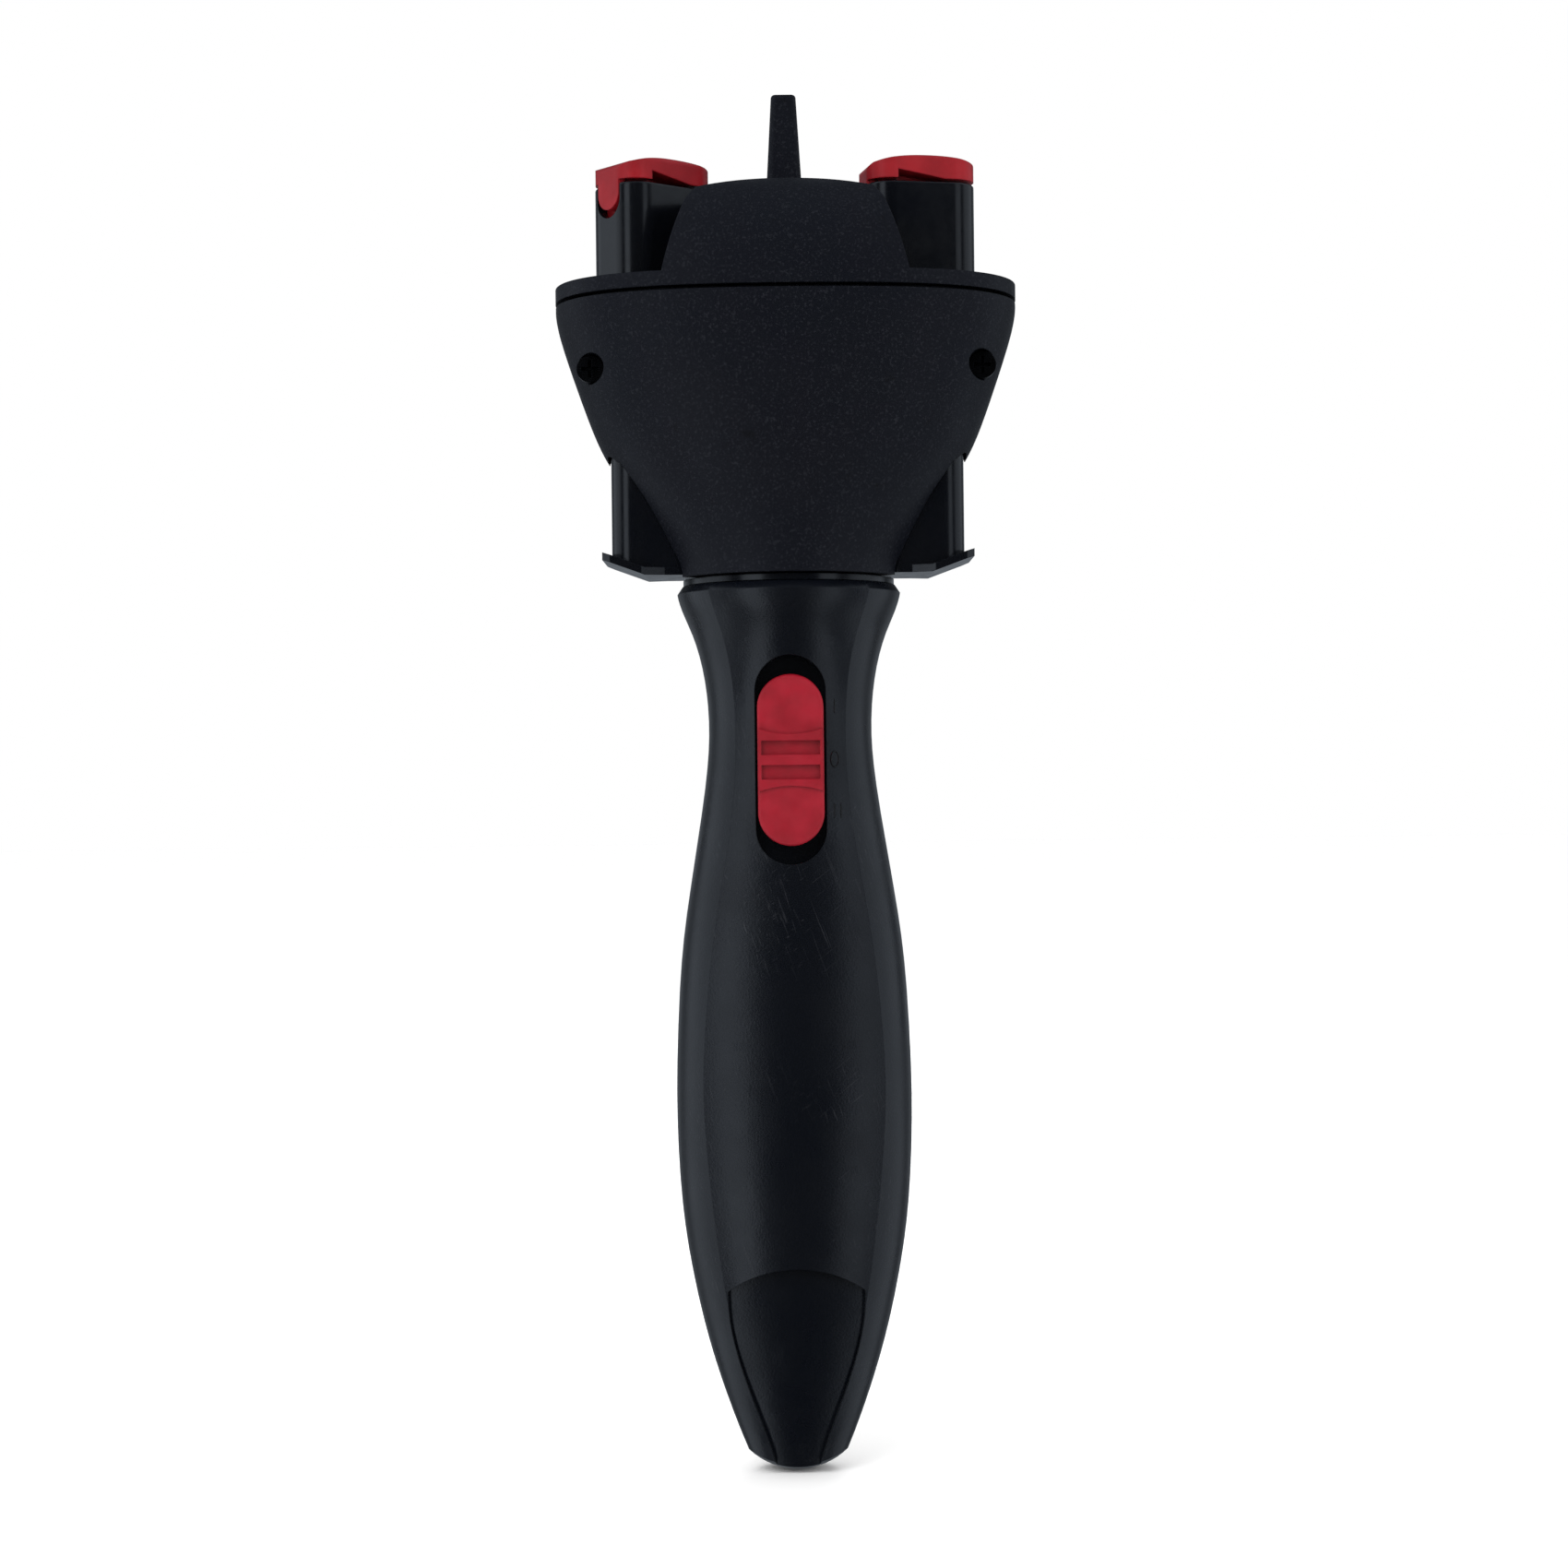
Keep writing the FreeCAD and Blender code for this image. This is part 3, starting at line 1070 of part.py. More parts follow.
def right_lever():
    """Finger lever: a hollow rounded column on a bent thumb plate, with a push boss."""
    bend_x = 27.9
    tip_x = 36.1
    plate_z = 175.7
    thickness = 1.5
    tip_rise = 3.0

    def at(x, z):
        return Vector(x, -20, z)

    side_points = [at(LEVER_INNER_X, plate_z), at(bend_x, plate_z), at(tip_x, plate_z + tip_rise),
                   at(tip_x, plate_z + tip_rise + thickness), at(bend_x, plate_z + thickness),
                   at(LEVER_INNER_X, plate_z + thickness), at(LEVER_INNER_X, plate_z)]
    plate = Part.Face(Part.makePolygon(side_points)).extrude(Vector(0, 40, 0))
    front_points = [(LEVER_INNER_X, -4.2), (LEVER_INNER_X + 4.4, -8.6), (24, -8.6),
                    (28.5, -10.2), (tip_x - 1.5, -10.2), (tip_x, -8.7)]
    back_points = [(x, -y) for x, y in reversed(front_points)]
    plan_points = front_points + back_points + front_points[:1]
    plan = Part.Face(Part.makePolygon([Vector(x, y, 170) for x, y in plan_points]))
    plate = plate.common(plan.extrude(Vector(0, 0, 20)))
    below = [at(LEVER_INNER_X - 1, plate_z - 5), at(LEVER_INNER_X - 1, plate_z),
             at(bend_x, plate_z), at(40, plate_z + tip_rise * (40 - bend_x) / (tip_x - bend_x)),
             at(40, plate_z - 5), at(LEVER_INNER_X - 1, plate_z - 5)]
    underside = Part.Face(Part.makePolygon(below)).extrude(Vector(0, 40, 0))
    column = lever_block(0, plate_z, LEVER_TOP)
    column = column.cut(lever_block(-1.6, plate_z + 6, LEVER_TOP)).cut(underside)
    boss = rod(4.0, plate_z + 1, ROD_BOTTOM - 0.1, CLAMP_X)
    lug = box(16.6, LEVER_INNER_X + 1, -3.0, 3.0, LEVER_TOP - 2.5, LEVER_TOP)
    return join([plate, column, boss, lug])


# ---------------------------------------------------------------- the whole object

def clamp_nodes(side):
    x = -CLAMP_X if side == "left" else CLAMP_X
    lever = right_lever()
    pieces = {"clamp_rotor": clamp_rotor(), "clamp_clip": clamp_clip(), "strand_hook": hook(),
              "push_rod": push_rod(), "return_spring": return_spring()}
    nodes = {side + "_" + name: placed_clamp_piece(shape, side) for name, shape in pieces.items()}
    nodes[side + "_clamp_gear"] = head_gear(7.0, x, 180 / GEAR_TEETH)
    nodes[side + "_lever"] = mirrored(lever) if side == "left" else lever
    return nodes


def all_nodes():
    handle = handle_blank()
    casing = head_blank()
    nodes = {
        "front_shell": front_shell(handle), "back_shell": back_shell(handle),
        "handle_screws": handle_screws(), "battery_door": battery_door(),
        "battery_tray": battery_tray(), "left_cell": cell(-1), "right_cell": cell(1),
        "battery_contacts": contact_plates() + battery_springs(),
        "circuit_board": circuit_board(), "slide_switch": slide_switch(),
        "power_leads": power_leads(), "switch_slider": switch_slider(),
        "switch_button": switch_button(), "motor_can": motor_can(),
        "motor_end_cap": motor_end_cap(), "motor_magnets": motor_magnets(),
        "motor_rotor": motor_rotor(), "motor_pinion": motor_pinion(),
        "ring_gear": ring_gear(), "gearbox_lid": gearbox_lid(),
        "first_carrier": first_carrier(), "second_carrier": second_carrier(),
        "drive_shaft": drive_shaft(), "neck_sleeve": neck_sleeve(), "neck_screws": neck_screws(),
        "sleeve_bushes": sleeve_bushes(), "retaining_ring": retaining_ring(),
        "neck_ratchet": neck_ratchet(), "neck_pawl": neck_pawl(),
        "drive_ratchet": drive_ratchet(), "drive_pawl": drive_pawl(), "head_hub": head_hub(),
        "front_casing": front_casing(casing),
        "back_casing": back_casing(casing), "head_screws": head_screws(),
        "chassis_plate": chassis_plate(), "small_head_screws": hub_screws() + cover_screws(),
        "top_cover": top_cover(),
        "hair_divider": hair_divider(), "sun_gear": head_gear(SHAFT_RADIUS, 0, 0),
    }
    for stage in (0, 1):
        for index in range(PLANET_COUNT):
            nodes["planet_%d_%d" % (stage + 1, index + 1)] = planet(stage, index)
    for side in ("left", "right"):
        nodes.update(clamp_nodes(side))
    return nodes


def main():
    os.makedirs("parts", exist_ok=True)
    for name, shape in all_nodes().items():
        if isinstance(shape, list):
            shape = Part.makeCompound(shape)
        shape.exportStep(os.path.join("parts", name + ".step"))
        print("%-18s solids %2d  valid %s  volume %9.1f" % (
            name, len(shape.Solids), shape.isValid(), shape.Volume))


main()
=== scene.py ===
"""Looks of the hair braider: finishes, switch marks, springs, studio and camera."""
import json
import math

import bmesh
import bpy
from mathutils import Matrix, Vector
from mathutils.bvhtree import BVHTree


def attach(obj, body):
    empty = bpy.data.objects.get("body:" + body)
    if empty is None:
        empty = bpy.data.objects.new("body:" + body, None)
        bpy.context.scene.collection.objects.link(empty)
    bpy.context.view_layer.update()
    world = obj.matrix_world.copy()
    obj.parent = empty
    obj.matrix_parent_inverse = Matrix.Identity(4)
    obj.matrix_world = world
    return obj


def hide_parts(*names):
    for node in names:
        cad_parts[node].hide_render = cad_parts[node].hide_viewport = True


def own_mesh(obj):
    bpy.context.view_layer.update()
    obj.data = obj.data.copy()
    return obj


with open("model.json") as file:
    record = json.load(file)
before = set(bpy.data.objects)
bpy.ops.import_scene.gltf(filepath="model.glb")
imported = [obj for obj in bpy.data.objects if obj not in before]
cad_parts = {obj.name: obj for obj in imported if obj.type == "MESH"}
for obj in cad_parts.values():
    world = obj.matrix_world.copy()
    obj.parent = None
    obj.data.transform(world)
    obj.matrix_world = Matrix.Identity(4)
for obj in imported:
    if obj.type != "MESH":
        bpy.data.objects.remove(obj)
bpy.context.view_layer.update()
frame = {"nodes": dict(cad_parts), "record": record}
nodes = frame["nodes"]

MM = 0.001


# ---------------------------------------------------------------- camera and studio

CAMERA_PLACE = (-0.00136, -0.563, 0.1349)
CAMERA_ROLL = 0.01146
LENS = 65.66
SENSOR = 36.0


def make_camera():
    data = bpy.data.cameras.new("camera")
    data.lens = LENS
    data.sensor_width = SENSOR
    data.clip_start = 0.01
    data.clip_end = 50.0
    camera = bpy.data.objects.new("camera", data)
    camera.location = CAMERA_PLACE
    camera.rotation_euler = (math.pi / 2, CAMERA_ROLL, 0.0)
    bpy.context.scene.collection.objects.link(camera)
    bpy.context.scene.camera = camera


class Nodes:
    """A node tree with short calls for the nodes that the finishes and the studio share."""

    def __init__(self, tree):
        self.tree = tree
        tree.nodes.clear()

    def node(self, kind, **settings):
        made = self.tree.nodes.new(kind)
        for name, value in settings.items():
            setattr(made, name, value)
        return made

    def link(self, source, target):
        self.tree.links.new(source, target)

    def feed(self, socket, value):
        """A number, a colour or another node's output into a socket."""
        if isinstance(value, (int, float)):
            socket.default_value = value
        elif isinstance(value, tuple):
            socket.default_value = value + (1.0,)
        else:
            self.link(value, socket)

    def maths(self, operation, first, second=0.0):
        made = self.node("ShaderNodeMath", operation=operation)
        self.feed(made.inputs[0], first)
        self.feed(made.inputs[1], second)
        return made.outputs["Value"]

    def spread(self, value, low, high, to_low=0.0, to_high=1.0, smooth=False):
        """The part of value between low and high, spread over to_low..to_high."""
        made = self.node("ShaderNodeMapRange")
        if smooth:
            made.interpolation_type = "SMOOTHSTEP"
        for name, number in (("From Min", low), ("From Max", high), ("To Min", to_low),
                             ("To Max", to_high)):
            made.inputs[name].default_value = number
        self.link(value, made.inputs["Value"])
        return made.outputs["Result"]

    def blend(self, share, first, second):
        """Colour between two colours."""
        made = self.node("ShaderNodeMix", data_type="RGBA")
        self.feed(made.inputs["Factor"], share)
        ends = [socket for socket in made.inputs if socket.type == "RGBA"]
        self.feed(ends[0], first)
        self.feed(ends[1], second)
        return [socket for socket in made.outputs if socket.type == "RGBA"][0]

    def axes(self, vector):
        split = self.node("ShaderNodeSeparateXYZ")
        self.link(vector, split.inputs["Vector"])
        return split.outputs["X"], split.outputs["Y"], split.outputs["Z"]


# Soft boxes that only reflections see: azimuth and elevation of the middle and half sizes
# in degrees, brightness.  Azimuth 0 is in front of the switch, + to the right.
SOFT_BOXES = (
    (-40, -4, 15, 60, 1.25),
    (44, -4, 13, 60, 0.80),
    (-98, 10, 36, 80, 0.80),
    (98, 10, 36, 80, 0.65),
    (180, 0, 50, 80, 0.25),
    (0, 75, 170, 32, 0.30),
)
ROOM_SHINE = 0.025


def soft_box(sky, azimuth, elevation, box):
    """Brightness of one soft box, falling off smoothly to its edges."""
    middle, height, half_width, half_height, power = box
    across = sky.maths("SUBTRACT", azimuth, math.radians(middle))
    across = sky.maths("WRAP", across, math.pi)
    across.node.inputs[2].default_value = -math.pi
    across = sky.maths("DIVIDE", across, math.radians(half_width))
    up = sky.maths("SUBTRACT", elevation, math.radians(height))
    up = sky.maths("DIVIDE", up, math.radians(half_height))
    reach = sky.maths("ADD", sky.maths("POWER", sky.maths("ABSOLUTE", across), 2.0),
                      sky.maths("POWER", sky.maths("ABSOLUTE", up), 4.0))
    return sky.spread(reach, 1.0, 0.25, 0.0, power, smooth=True)


def make_sky():
    """White all round for the view and for soft light, and a dim studio for reflections."""
    world = bpy.data.worlds.new("studio")
    bpy.context.scene.world = world
    world.use_nodes = True
    sky = Nodes(world.node_tree)
    direction = sky.node("ShaderNodeTexCoord").outputs["Generated"]
    x, y, z = sky.axes(direction)
    azimuth = sky.maths("ARCTAN2", x, sky.maths("MULTIPLY", y, -1.0))
    elevation = sky.maths("ARCSINE", z)
    shine = ROOM_SHINE
    for box in SOFT_BOXES:
        shine = sky.maths("ADD", soft_box(sky, azimuth, elevation, box), shine)
    room = sky.node("ShaderNodeBackground")
    room.inputs["Color"].default_value = (0.80, 0.89, 1.0, 1.0)
    sky.link(shine, room.inputs["Strength"])
    white = sky.node("ShaderNodeBackground")
    white.inputs["Color"].default_value = (1.0, 1.0, 1.0, 1.0)
    white.inputs["Strength"].default_value = 1.0
    ray = sky.node("ShaderNodeLightPath")
    mix = sky.node("ShaderNodeMixShader")
    sky.link(ray.outputs["Is Glossy Ray"], mix.inputs["Fac"])
    sky.link(white.outputs["Background"], mix.inputs[1])
    sky.link(room.outputs["Background"], mix.inputs[2])
    output = sky.node("ShaderNodeOutputWorld")
    sky.link(mix.outputs["Shader"], output.inputs["Surface"])


FLOOR_HALF = 6.0


def make_floor():
    """Matte white paper, which reflections in the part don't see."""
    half = FLOOR_HALF
    corners = [(-half, -half, 0), (half, -half, 0), (half, half, 0), (-half, half, 0)]
    mesh = bpy.data.meshes.new("floor")
    mesh.from_pydata(corners, [], [(0, 1, 2, 3)])
    floor = bpy.data.objects.new("floor", mesh)
    bpy.context.scene.collection.objects.link(floor)
    floor.visible_glossy = False
    paper = bpy.data.materials.new("studio_floor")
    paper.use_nodes = True
    shader = paper.node_tree.nodes["Principled BSDF"]
    shader.inputs["Base Color"].default_value = (1.0, 1.0, 1.0, 1.0)
    shader.inputs["Roughness"].default_value = 1.0
    shader.inputs["Specular IOR Level"].default_value = 0.0
    mesh.materials.append(paper)


# Area lights, for soft light only: name, place, size in metres and power in watts.
LIGHTS = (
    ("key", (-0.45, -0.75, 0.75), 0.6, 5.0),
    ("fill", (0.7, -0.6, 0.25), 0.6, 2.0),
    ("back", (0.2, 0.9, 0.6), 0.7, 3.0),
)
LIGHT_TARGET = (0.0, 0.0, 0.15)


def area_light(name, place, size, power):
    data = bpy.data.lights.new(name, "AREA")
    data.shape = "SQUARE"
    data.size = size
    data.energy = power
    light = bpy.data.objects.new(name, data)
    light.location = place
    aim = Vector(LIGHT_TARGET) - Vector(place)
    light.rotation_euler = aim.to_track_quat("-Z", "Y").to_euler()
    light.visible_glossy = False
    bpy.context.scene.collection.objects.link(light)


def make_lights():
    for light in LIGHTS:
        area_light(*light)


# ---------------------------------------------------------------- finishes

BEVEL_SAMPLES = 4


class Finish(Nodes):
    """One material: a Principled surface fed by procedural textures in the part's frame."""

    def __init__(self, name, **values):
        self.material = bpy.data.materials.new(name)
        self.material.use_nodes = True
        super().__init__(self.material.node_tree)
        output = self.node("ShaderNodeOutputMaterial")
        self.surface = self.node("ShaderNodeBsdfPrincipled")
        self.link(self.surface.outputs["BSDF"], output.inputs["Surface"])
        self.place = self.node("ShaderNodeTexCoord").outputs["Object"]
        for socket, value in values.items():
            self.surface.inputs[socket.replace("_", " ")].default_value = value

    def stretched(self, scale, turn=(0.0, 0.0, 0.0)):
        """The part's frame turned, then scaled along its axes."""
        turned = self.node("ShaderNodeMapping")
        turned.inputs["Rotation"].default_value = turn
        self.link(self.place, turned.inputs["Vector"])
        made = self.node("ShaderNodeMapping")
        made.inputs["Scale"].default_value = scale
        self.link(turned.outputs["Vector"], made.inputs["Vector"])
        return made.outputs["Vector"]

    def noise(self, grain, detail=3.0, roughness=0.5, where=None, distortion=0.0):
        """Noise with lumps about grain millimetres across."""
        made = self.node("ShaderNodeTexNoise")
        made.inputs["Scale"].default_value = 1 / (grain * MM)
        made.inputs["Detail"].default_value = detail
        made.inputs["Roughness"].default_value = roughness
        made.inputs["Distortion"].default_value = distortion
        self.link(where or self.place, made.inputs["Vector"])
        return made.outputs["Fac"]

    def pits(self, grain):
        """Distance to the nearest of scattered points about grain millimetres apart."""
        made = self.node("ShaderNodeTexVoronoi")
        made.inputs["Scale"].default_value = 1 / (grain * MM)
        self.link(self.place, made.inputs["Vector"])
        return made.outputs["Distance"]

    def scratches(self, turn, width=0.35, length=14.0, amount=0.16):
        """Thin lines along one direction, present only in patches."""
        lines = self.noise(1.0, 1.0, 0.4,
                           self.stretched((1 / width, 1 / width, 1 / length), turn), 0.3)
        patches = self.spread(self.noise(22.0, 2.0), 0.48, 0.62)
        return self.maths("MULTIPLY", self.spread(lines, 0.78 - amount, 0.80), patches)

    def colour(self, source):
        self.link(source, self.surface.inputs["Base Color"])

    def rough(self, source):
        self.link(source, self.surface.inputs["Roughness"])

    def bump(self, *layers, edge=0.0):
        """Bumps stacked one on another, (height, depth in mm), over softly rounded edges."""
        below = None
        if edge:
            rounded = self.node("ShaderNodeBevel", samples=BEVEL_SAMPLES)
            rounded.inputs["Radius"].default_value = edge * MM
            below = rounded.outputs["Normal"]
        for height, depth in layers:
            made = self.node("ShaderNodeBump")
            made.inputs["Strength"].default_value = 1.0
            made.inputs["Distance"].default_value = depth * MM
            self.link(height, made.inputs["Height"])
            if below is not None:
                self.link(below, made.inputs["Normal"])
            below = made.outputs["Normal"]
        self.link(below, self.surface.inputs["Normal"])


def black_casing():
    """Bluish black, spark-eroded mould texture with painted glints on its lighter speckles,
    matte, with a few rubbed patches.
    """
    made = Finish("black_casing_finish", Specular_IOR_Level=0.16)
    speckle = made.noise(0.50, 2.0, 0.6)
    cloud = made.noise(30.0, 2.0)
    base = made.blend(made.spread(cloud, 0.35, 0.65), (0.0024, 0.0032, 0.0062),
                      (0.0034, 0.0039, 0.0068))
    # Lighter speckles of the grain: painted glints where the eroded texture would catch light.
    glint_speckled = made.blend(made.spread(speckle, 0.54, 0.70), base, (0.009, 0.010, 0.014))
    smudge = made.spread(made.noise(5.0, 4.0, 0.6), 0.66, 0.74)
    made.colour(made.blend(made.maths("MULTIPLY", smudge, 0.6), glint_speckled, (0.002, 0.002, 0.003)))
    made.rough(made.spread(made.noise(9.0, 3.0), 0.3, 0.7, 0.44, 0.54))
    made.bump((made.noise(0.50, 2.0, 0.55), 0.045), (made.pits(0.70), 0.015), edge=0.35)
    return made.material


def black_handle():
    """Smoother satin black of the handle, with fine grain, faint scratches and rubbing."""
    made = Finish("black_handle_finish", Specular_IOR_Level=0.42)
    cloud = made.noise(26.0, 3.0)
    base = made.blend(made.spread(cloud, 0.35, 0.65), (0.0014, 0.0022, 0.0044),
                      (0.0022, 0.0030, 0.0052))
    scratches = made.maths("ADD", made.scratches((0.0, 0.35, 0.0)),
                           made.scratches((0.3, -0.9, 0.2), 0.3, 9.0, 0.12))
    made.colour(made.blend(made.maths("MULTIPLY", scratches, 0.5), base,
                           (0.020, 0.021, 0.025)))
    grain = made.noise(0.42, 2.0, 0.5)
    made.rough(made.spread(made.noise(12.0, 3.0), 0.3, 0.7, 0.25, 0.34))
    made.bump((grain, 0.030), (scratches, 0.012), edge=0.22)
    return made.material


def black_gloss():
    """Polished black of the clamps, levers and slider, with fine handling marks."""
    made = Finish("black_gloss_finish", Specular_IOR_Level=0.34, Coat_Weight=0.12,
                  Coat_Roughness=0.06)
    cloud = made.noise(11.0, 3.0)
    marks = made.scratches((0.0, 0.12, 0.0), 0.25, 10.0, 0.1)
    base = made.blend(made.spread(cloud, 0.35, 0.65), (0.0016, 0.0021, 0.0036),
                      (0.0024, 0.0029, 0.0042))
    made.colour(made.blend(made.maths("MULTIPLY", marks, 0.4), base, (0.014, 0.015, 0.018)))
    made.rough(made.spread(made.noise(3.0, 4.0, 0.6), 0.3, 0.7, 0.16, 0.27))
    made.bump((made.noise(1.6, 2.0), 0.006), (marks, 0.004), edge=0.3)
    return made.material


def red_plastic(name, deep, bright, grain_depth):
    """Satin red plastic: deeper red in soft clouds, brighter where it is rubbed."""
    made = Finish(name, Subsurface_Weight=0.04, Subsurface_Scale=0.0008,
                  Specular_IOR_Level=0.28)
    cloud = made.spread(made.noise(6.0, 3.0), 0.35, 0.65)
    base = made.blend(cloud, deep, bright)
    rubbed = made.spread(made.noise(0.9, 4.0, 0.65), 0.62, 0.80, 0.0, 0.35)
    made.colour(made.blend(rubbed, base, tuple(min(1.0, 1.35 * part) for part in bright)))
    made.rough(made.spread(made.noise(2.2, 3.0), 0.3, 0.7, 0.34, 0.48))
    made.bump((made.noise(0.30, 2.0, 0.5), grain_depth), edge=0.35)
    return made.material


def red_button():
    return red_plastic("red_button_finish", (0.200, 0.003, 0.010), (0.260, 0.005, 0.015), 0.008)


def red_hook():
    return red_plastic("red_hook_finish", (0.190, 0.003, 0.007), (0.240, 0.005, 0.010), 0.006)


def metal(name, dark, light, roughness, grain=0.5, stretch=(1.0, 1.0, 1.0)):
    """Machined or drawn metal: brushed grain, stained patches and worn bright spots."""
    made = Finish(name, Metallic=1.0)
    brushed = made.noise(grain, 3.0, 0.6, made.stretched(stretch))
    stain = made.noise(4.0, 4.0, 0.6)
    base = made.blend(made.spread(brushed, 0.3, 0.7), dark, light)
    made.colour(made.blend(made.spread(stain, 0.58, 0.75, 0.0, 0.5), base, dark))
    made.rough(made.spread(stain, 0.3, 0.7, roughness, roughness + 0.16))
    made.bump((brushed, 0.008), edge=0.12)
    return made.material


def moulded(name, dark, light, roughness):
    """Engineering plastic of the gears and frames: flow marks, fine grain, greasy patches."""
    made = Finish(name)
    flow = made.noise(7.0, 3.0, 0.5, made.stretched((1.0, 1.0, 0.3)), 1.2)
    grease = made.spread(made.noise(3.5, 3.0), 0.60, 0.70)
    base = made.blend(made.spread(flow, 0.3, 0.7), dark, light)
    tinted = tuple(0.82 * part for part in dark)
    made.colour(made.blend(made.maths("MULTIPLY", grease, 0.5), base, tinted))
    made.rough(made.spread(grease, 0.0, 1.0, roughness, 0.6 * roughness))
    made.bump((made.noise(0.35, 2.0), 0.01), edge=0.15)
    return made.material


def cell_wrap():
    """Shrink sleeve of a battery cell: plain colour, lighter band, fine wrinkles."""
    made = Finish("cell_wrap_finish", Coat_Weight=0.4, Coat_Roughness=0.15)
    height = made.axes(made.place)[2]
    band = made.spread(height, 0.0790, 0.0792)
    base = made.blend(band, (0.030, 0.034, 0.040), (0.45, 0.24, 0.05))
    dust = made.spread(made.noise(0.8, 4.0, 0.6), 0.6, 0.8, 0.0, 0.3)
    made.colour(made.blend(dust, base, (0.30, 0.30, 0.30)))
    made.rough(made.spread(made.noise(3.0, 3.0), 0.3, 0.7, 0.22, 0.36))
    made.bump((made.noise(2.5, 3.0, 0.6, made.stretched((1.0, 1.0, 0.4))), 0.03))
    return made.material


def board_green():
    """Circuit board: solder-mask green over faint copper tracks."""
    made = Finish("board_green_finish", Coat_Weight=0.3, Coat_Roughness=0.2)
    track = made.spread(made.noise(2.0, 0.0, 0.5, made.stretched((1.0, 1.0, 0.35))), 0.52, 0.54)
    weave = made.noise(0.25, 1.0)
    base = made.blend(track, (0.006, 0.090, 0.030), (0.016, 0.160, 0.050))
    made.colour(made.blend(made.spread(weave, 0.4, 0.7, 0.0, 0.3), base, (0.03, 0.13, 0.06)))
    made.rough(made.spread(weave, 0.3, 0.7, 0.35, 0.50))
    made.bump((track, 0.03), (weave, 0.005))
    return made.material


def copper_leads():
    """Insulated wires, red-brown with a soft sheen."""
    made = Finish("lead_copper_finish")
    base = made.blend(made.spread(made.noise(3.0, 3.0), 0.35, 0.65), (0.32, 0.020, 0.014),
                      (0.45, 0.040, 0.022))
    made.colour(base)
    made.rough(made.spread(made.noise(1.0, 3.0), 0.3, 0.7, 0.38, 0.55))
    made.bump((made.noise(0.5, 2.0), 0.01))
    return made.material


def all_finishes():
    return {
        "black_handle": black_handle(),
        "black_casing": black_casing(),
        "black_gloss": black_gloss(),
        "red_button": red_button(),
        "red_hook": red_hook(),
        "screw_black": metal("screw_black_finish", (0.010, 0.010, 0.012),
                             (0.035, 0.036, 0.040), 0.28, 0.3),
        "screw_steel": metal("screw_steel_finish", (0.36, 0.37, 0.39), (0.58, 0.58, 0.60), 0.24,
                             0.3),
        "nickel_steel": metal("nickel_steel_finish", (0.50, 0.49, 0.46), (0.68, 0.66, 0.62),
                              0.20, 0.6),
        "switch_metal": metal("switch_metal_finish", (0.42, 0.43, 0.45), (0.62, 0.63, 0.65),
                              0.26, 0.4),
        "motor_steel": metal("motor_steel_finish", (0.40, 0.41, 0.42), (0.62, 0.62, 0.63), 0.25,
                             0.4, (1.0, 1.0, 0.15)),
        "rotor_steel": metal("rotor_steel_finish", (0.25, 0.24, 0.23), (0.45, 0.42, 0.38), 0.32,
                             0.4),
        "shaft_steel": metal("shaft_steel_finish", (0.46, 0.47, 0.49), (0.70, 0.71, 0.72), 0.16,
                             0.35, (1.0, 1.0, 0.2)),
        "spring_steel": metal("spring_steel_finish", (0.34, 0.34, 0.35), (0.56, 0.56, 0.57),
                              0.22, 0.3),
        "brass_gear": metal("brass_gear_finish", (0.48, 0.30, 0.09), (0.72, 0.48, 0.18), 0.22,
                            0.3),
        "bronze": metal("bronze_finish", (0.30, 0.16, 0.06), (0.50, 0.30, 0.13), 0.34, 0.25),
        "magnet_grey": metal("magnet_grey_finish", (0.05, 0.05, 0.055), (0.11, 0.11, 0.12),
                             0.50, 0.3),
        "grey_nylon": moulded("grey_nylon_finish", (0.090, 0.095, 0.105), (0.13, 0.135, 0.145),
                              0.48),
        "white_nylon": moulded("white_nylon_finish", (0.66, 0.65, 0.60), (0.78, 0.77, 0.72),
                               0.42),
        "cell_wrap": cell_wrap(),
        "board_green": board_green(),
        "lead_copper": copper_leads(),
    }


def dress_nodes(finishes):
    for row in frame["record"]["subparts"]:
        target = nodes[row["node"]]
        finish = finishes[row["material_slot"]]
        if target.material_slots:
            for place in target.material_slots:
                place.material = finish
        else:
            target.data.materials.append(finish)


# ---------------------------------------------------------------- moulded switch marks

# Millimetres, but for IN_FRONT_Y, which is in metres.
MARK_X = 8.5
MARK_HEIGHT = 3.0
MARK_PROUD = 0.13
MARK_RADIUS = 0.26
MARK_PLACES = {"one": 149.8, "off": 139.6, "two": 129.7}
PAIR_OFFSETS = (-0.15, 1.05)
LOOP_WIDTH_SHARE = 0.25
BAR_STEPS = 8
LOOP_STEPS = 28
BEAD_SIDES = 10
BEAD_END_SHRINK = 0.45
IN_FRONT_Y = -0.1


def bar(x, z):
    """Points of an upright stroke, from foot to top."""
    return [(x, z + MARK_HEIGHT * (step / BAR_STEPS - 0.5))
            for step in range(BAR_STEPS + 1)], False


def loop(x, z):
    """Points of an upright oval."""
    half_width = LOOP_WIDTH_SHARE * MARK_HEIGHT
    angles = [2 * math.pi * step / LOOP_STEPS for step in range(LOOP_STEPS)]
    return [(x + half_width * math.cos(angle), z + MARK_HEIGHT / 2 * math.sin(angle))
            for angle in angles], True


def on_front(tree, x, z):
    """Point and outward normal of the handle's front at (x, z), in millimetres."""
    hit, normal, _, _ = tree.ray_cast(Vector((x * MM, IN_FRONT_Y, z * MM)), Vector((0, 1, 0)))
    if normal.y > 0:
        normal = -normal
    return hit, normal


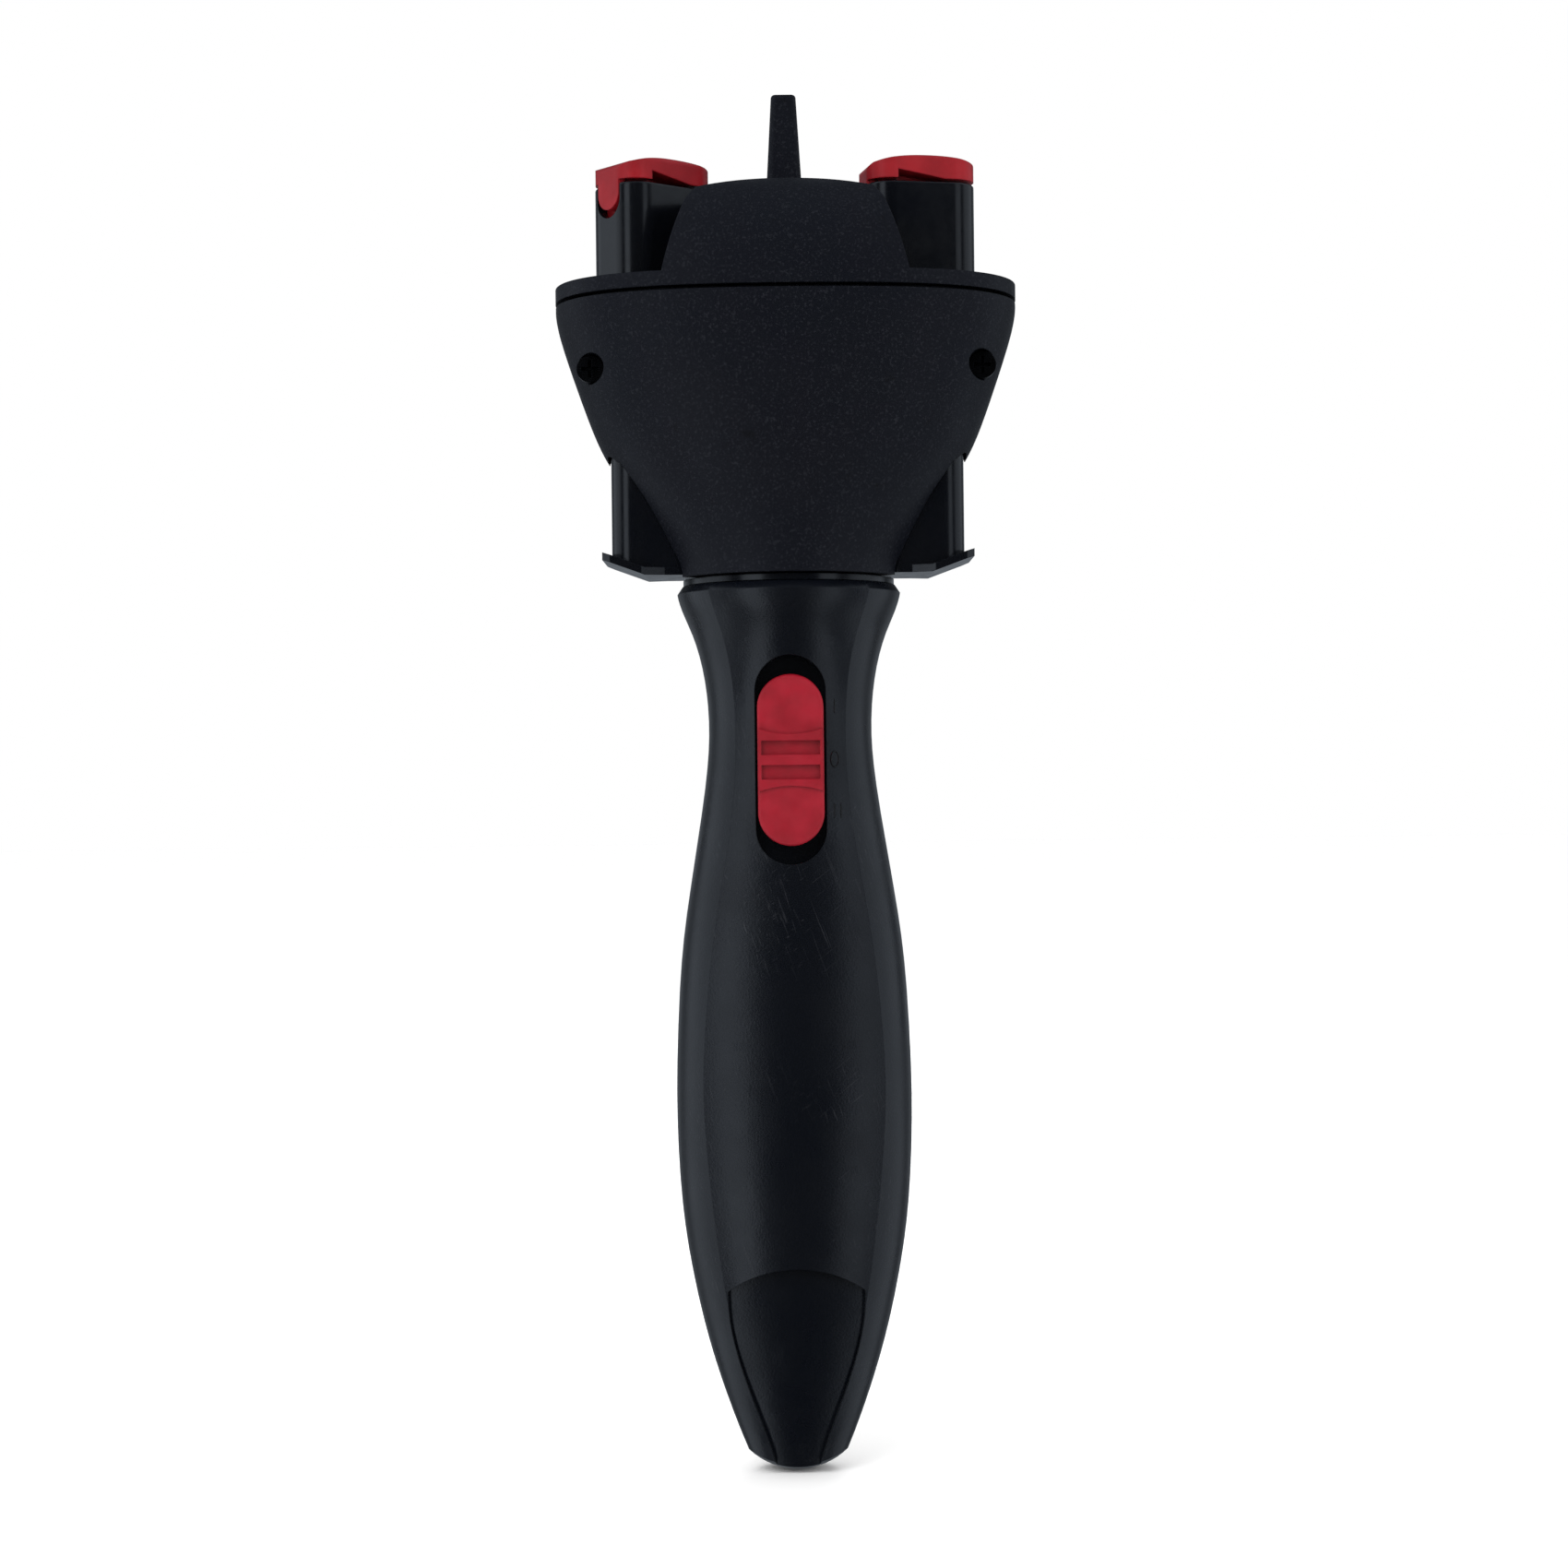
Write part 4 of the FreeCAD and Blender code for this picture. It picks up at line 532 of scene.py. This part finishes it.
def bead(mesh, tree, points, closed):
    """A rounded bead along points, proud of the surface and sunk into it."""
    around = BEAD_SIDES
    rings = []
    places = [on_front(tree, x, z) for x, z in points]
    last = len(places) - 1
    for index, (hit, normal) in enumerate(places):
        before = places[index - 1 if index or closed else 0][0]
        after = places[(index + 1) % len(places) if index < last or closed else last][0]
        along = (after - before).normalized()
        side = along.cross(normal).normalized()
        centre = hit + normal * (MARK_PROUD - MARK_RADIUS) * MM
        shrink = 1.0 if closed or 0 < index < last else BEAD_END_SHRINK
        circle = []
        for step in range(around):
            angle = 2 * math.pi * step / around
            offset = side * math.cos(angle) + normal * math.sin(angle)
            circle.append(mesh.verts.new(centre + offset * MARK_RADIUS * shrink * MM))
        rings.append(circle)
    pairs = list(zip(rings, rings[1:])) + ([(rings[-1], rings[0])] if closed else [])
    for low, high in pairs:
        for step in range(around):
            following = (step + 1) % around
            mesh.faces.new((low[step], low[following], high[following], high[step]))
    if not closed:
        mesh.faces.new(list(reversed(rings[0])))
        mesh.faces.new(rings[-1])


def switch_marks(finish):
    """Raised I, O and II beside the slot: first speed, off and second speed."""
    shell = nodes["front_shell"]
    tree = BVHTree.FromObject(shell, bpy.context.evaluated_depsgraph_get())
    strokes = [bar(MARK_X, MARK_PLACES["one"]), loop(MARK_X, MARK_PLACES["off"])]
    strokes += [bar(MARK_X + offset, MARK_PLACES["two"]) for offset in PAIR_OFFSETS]
    shape = bmesh.new()
    for points, closed in strokes:
        bead(shape, tree, points, closed)
    bmesh.ops.recalc_face_normals(shape, faces=shape.faces)
    mesh = bpy.data.meshes.new("switch_marks")
    shape.to_mesh(mesh)
    shape.free()
    mesh.materials.append(finish)
    mesh.shade_smooth()
    marks = bpy.data.objects.new("switch_marks", mesh)
    bpy.context.scene.collection.objects.link(marks)
    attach(marks, "handle")


def mark_finish():
    """Black ink over the raised marks, a little worn."""
    made = Finish("mark_finish")
    worn = made.spread(made.noise(0.5, 3.0), 0.62, 0.72)
    made.colour(made.blend(worn, (0.0012, 0.0014, 0.0020), (0.006, 0.0065, 0.008)))
    made.rough(made.spread(made.noise(0.8, 3.0), 0.3, 0.7, 0.30, 0.45))
    made.bump((made.noise(0.3, 2.0), 0.01))
    return made.material


# ---------------------------------------------------------------- return springs

CLAMP_X = 26.0


def squeezed_springs():
    """The return springs, copied into objects of their own that ride on the clamps, with the
    imported springs hidden.
    """
    for side, x in (("left", -CLAMP_X), ("right", CLAMP_X)):
        coil = nodes[side + "_return_spring"]
        spring = bpy.data.objects.new(side + "_spring_coil", coil.data.copy())
        spring.matrix_world = coil.matrix_world.copy()
        bpy.context.scene.collection.objects.link(spring)
        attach(spring, side + "_clamp")
        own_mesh(spring)
        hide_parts(side + "_return_spring")


bpy.context.scene.view_settings.view_transform = "Standard"
make_camera()
make_sky()
make_floor()
make_lights()
dress_nodes(all_finishes())
switch_marks(mark_finish())
squeezed_springs()
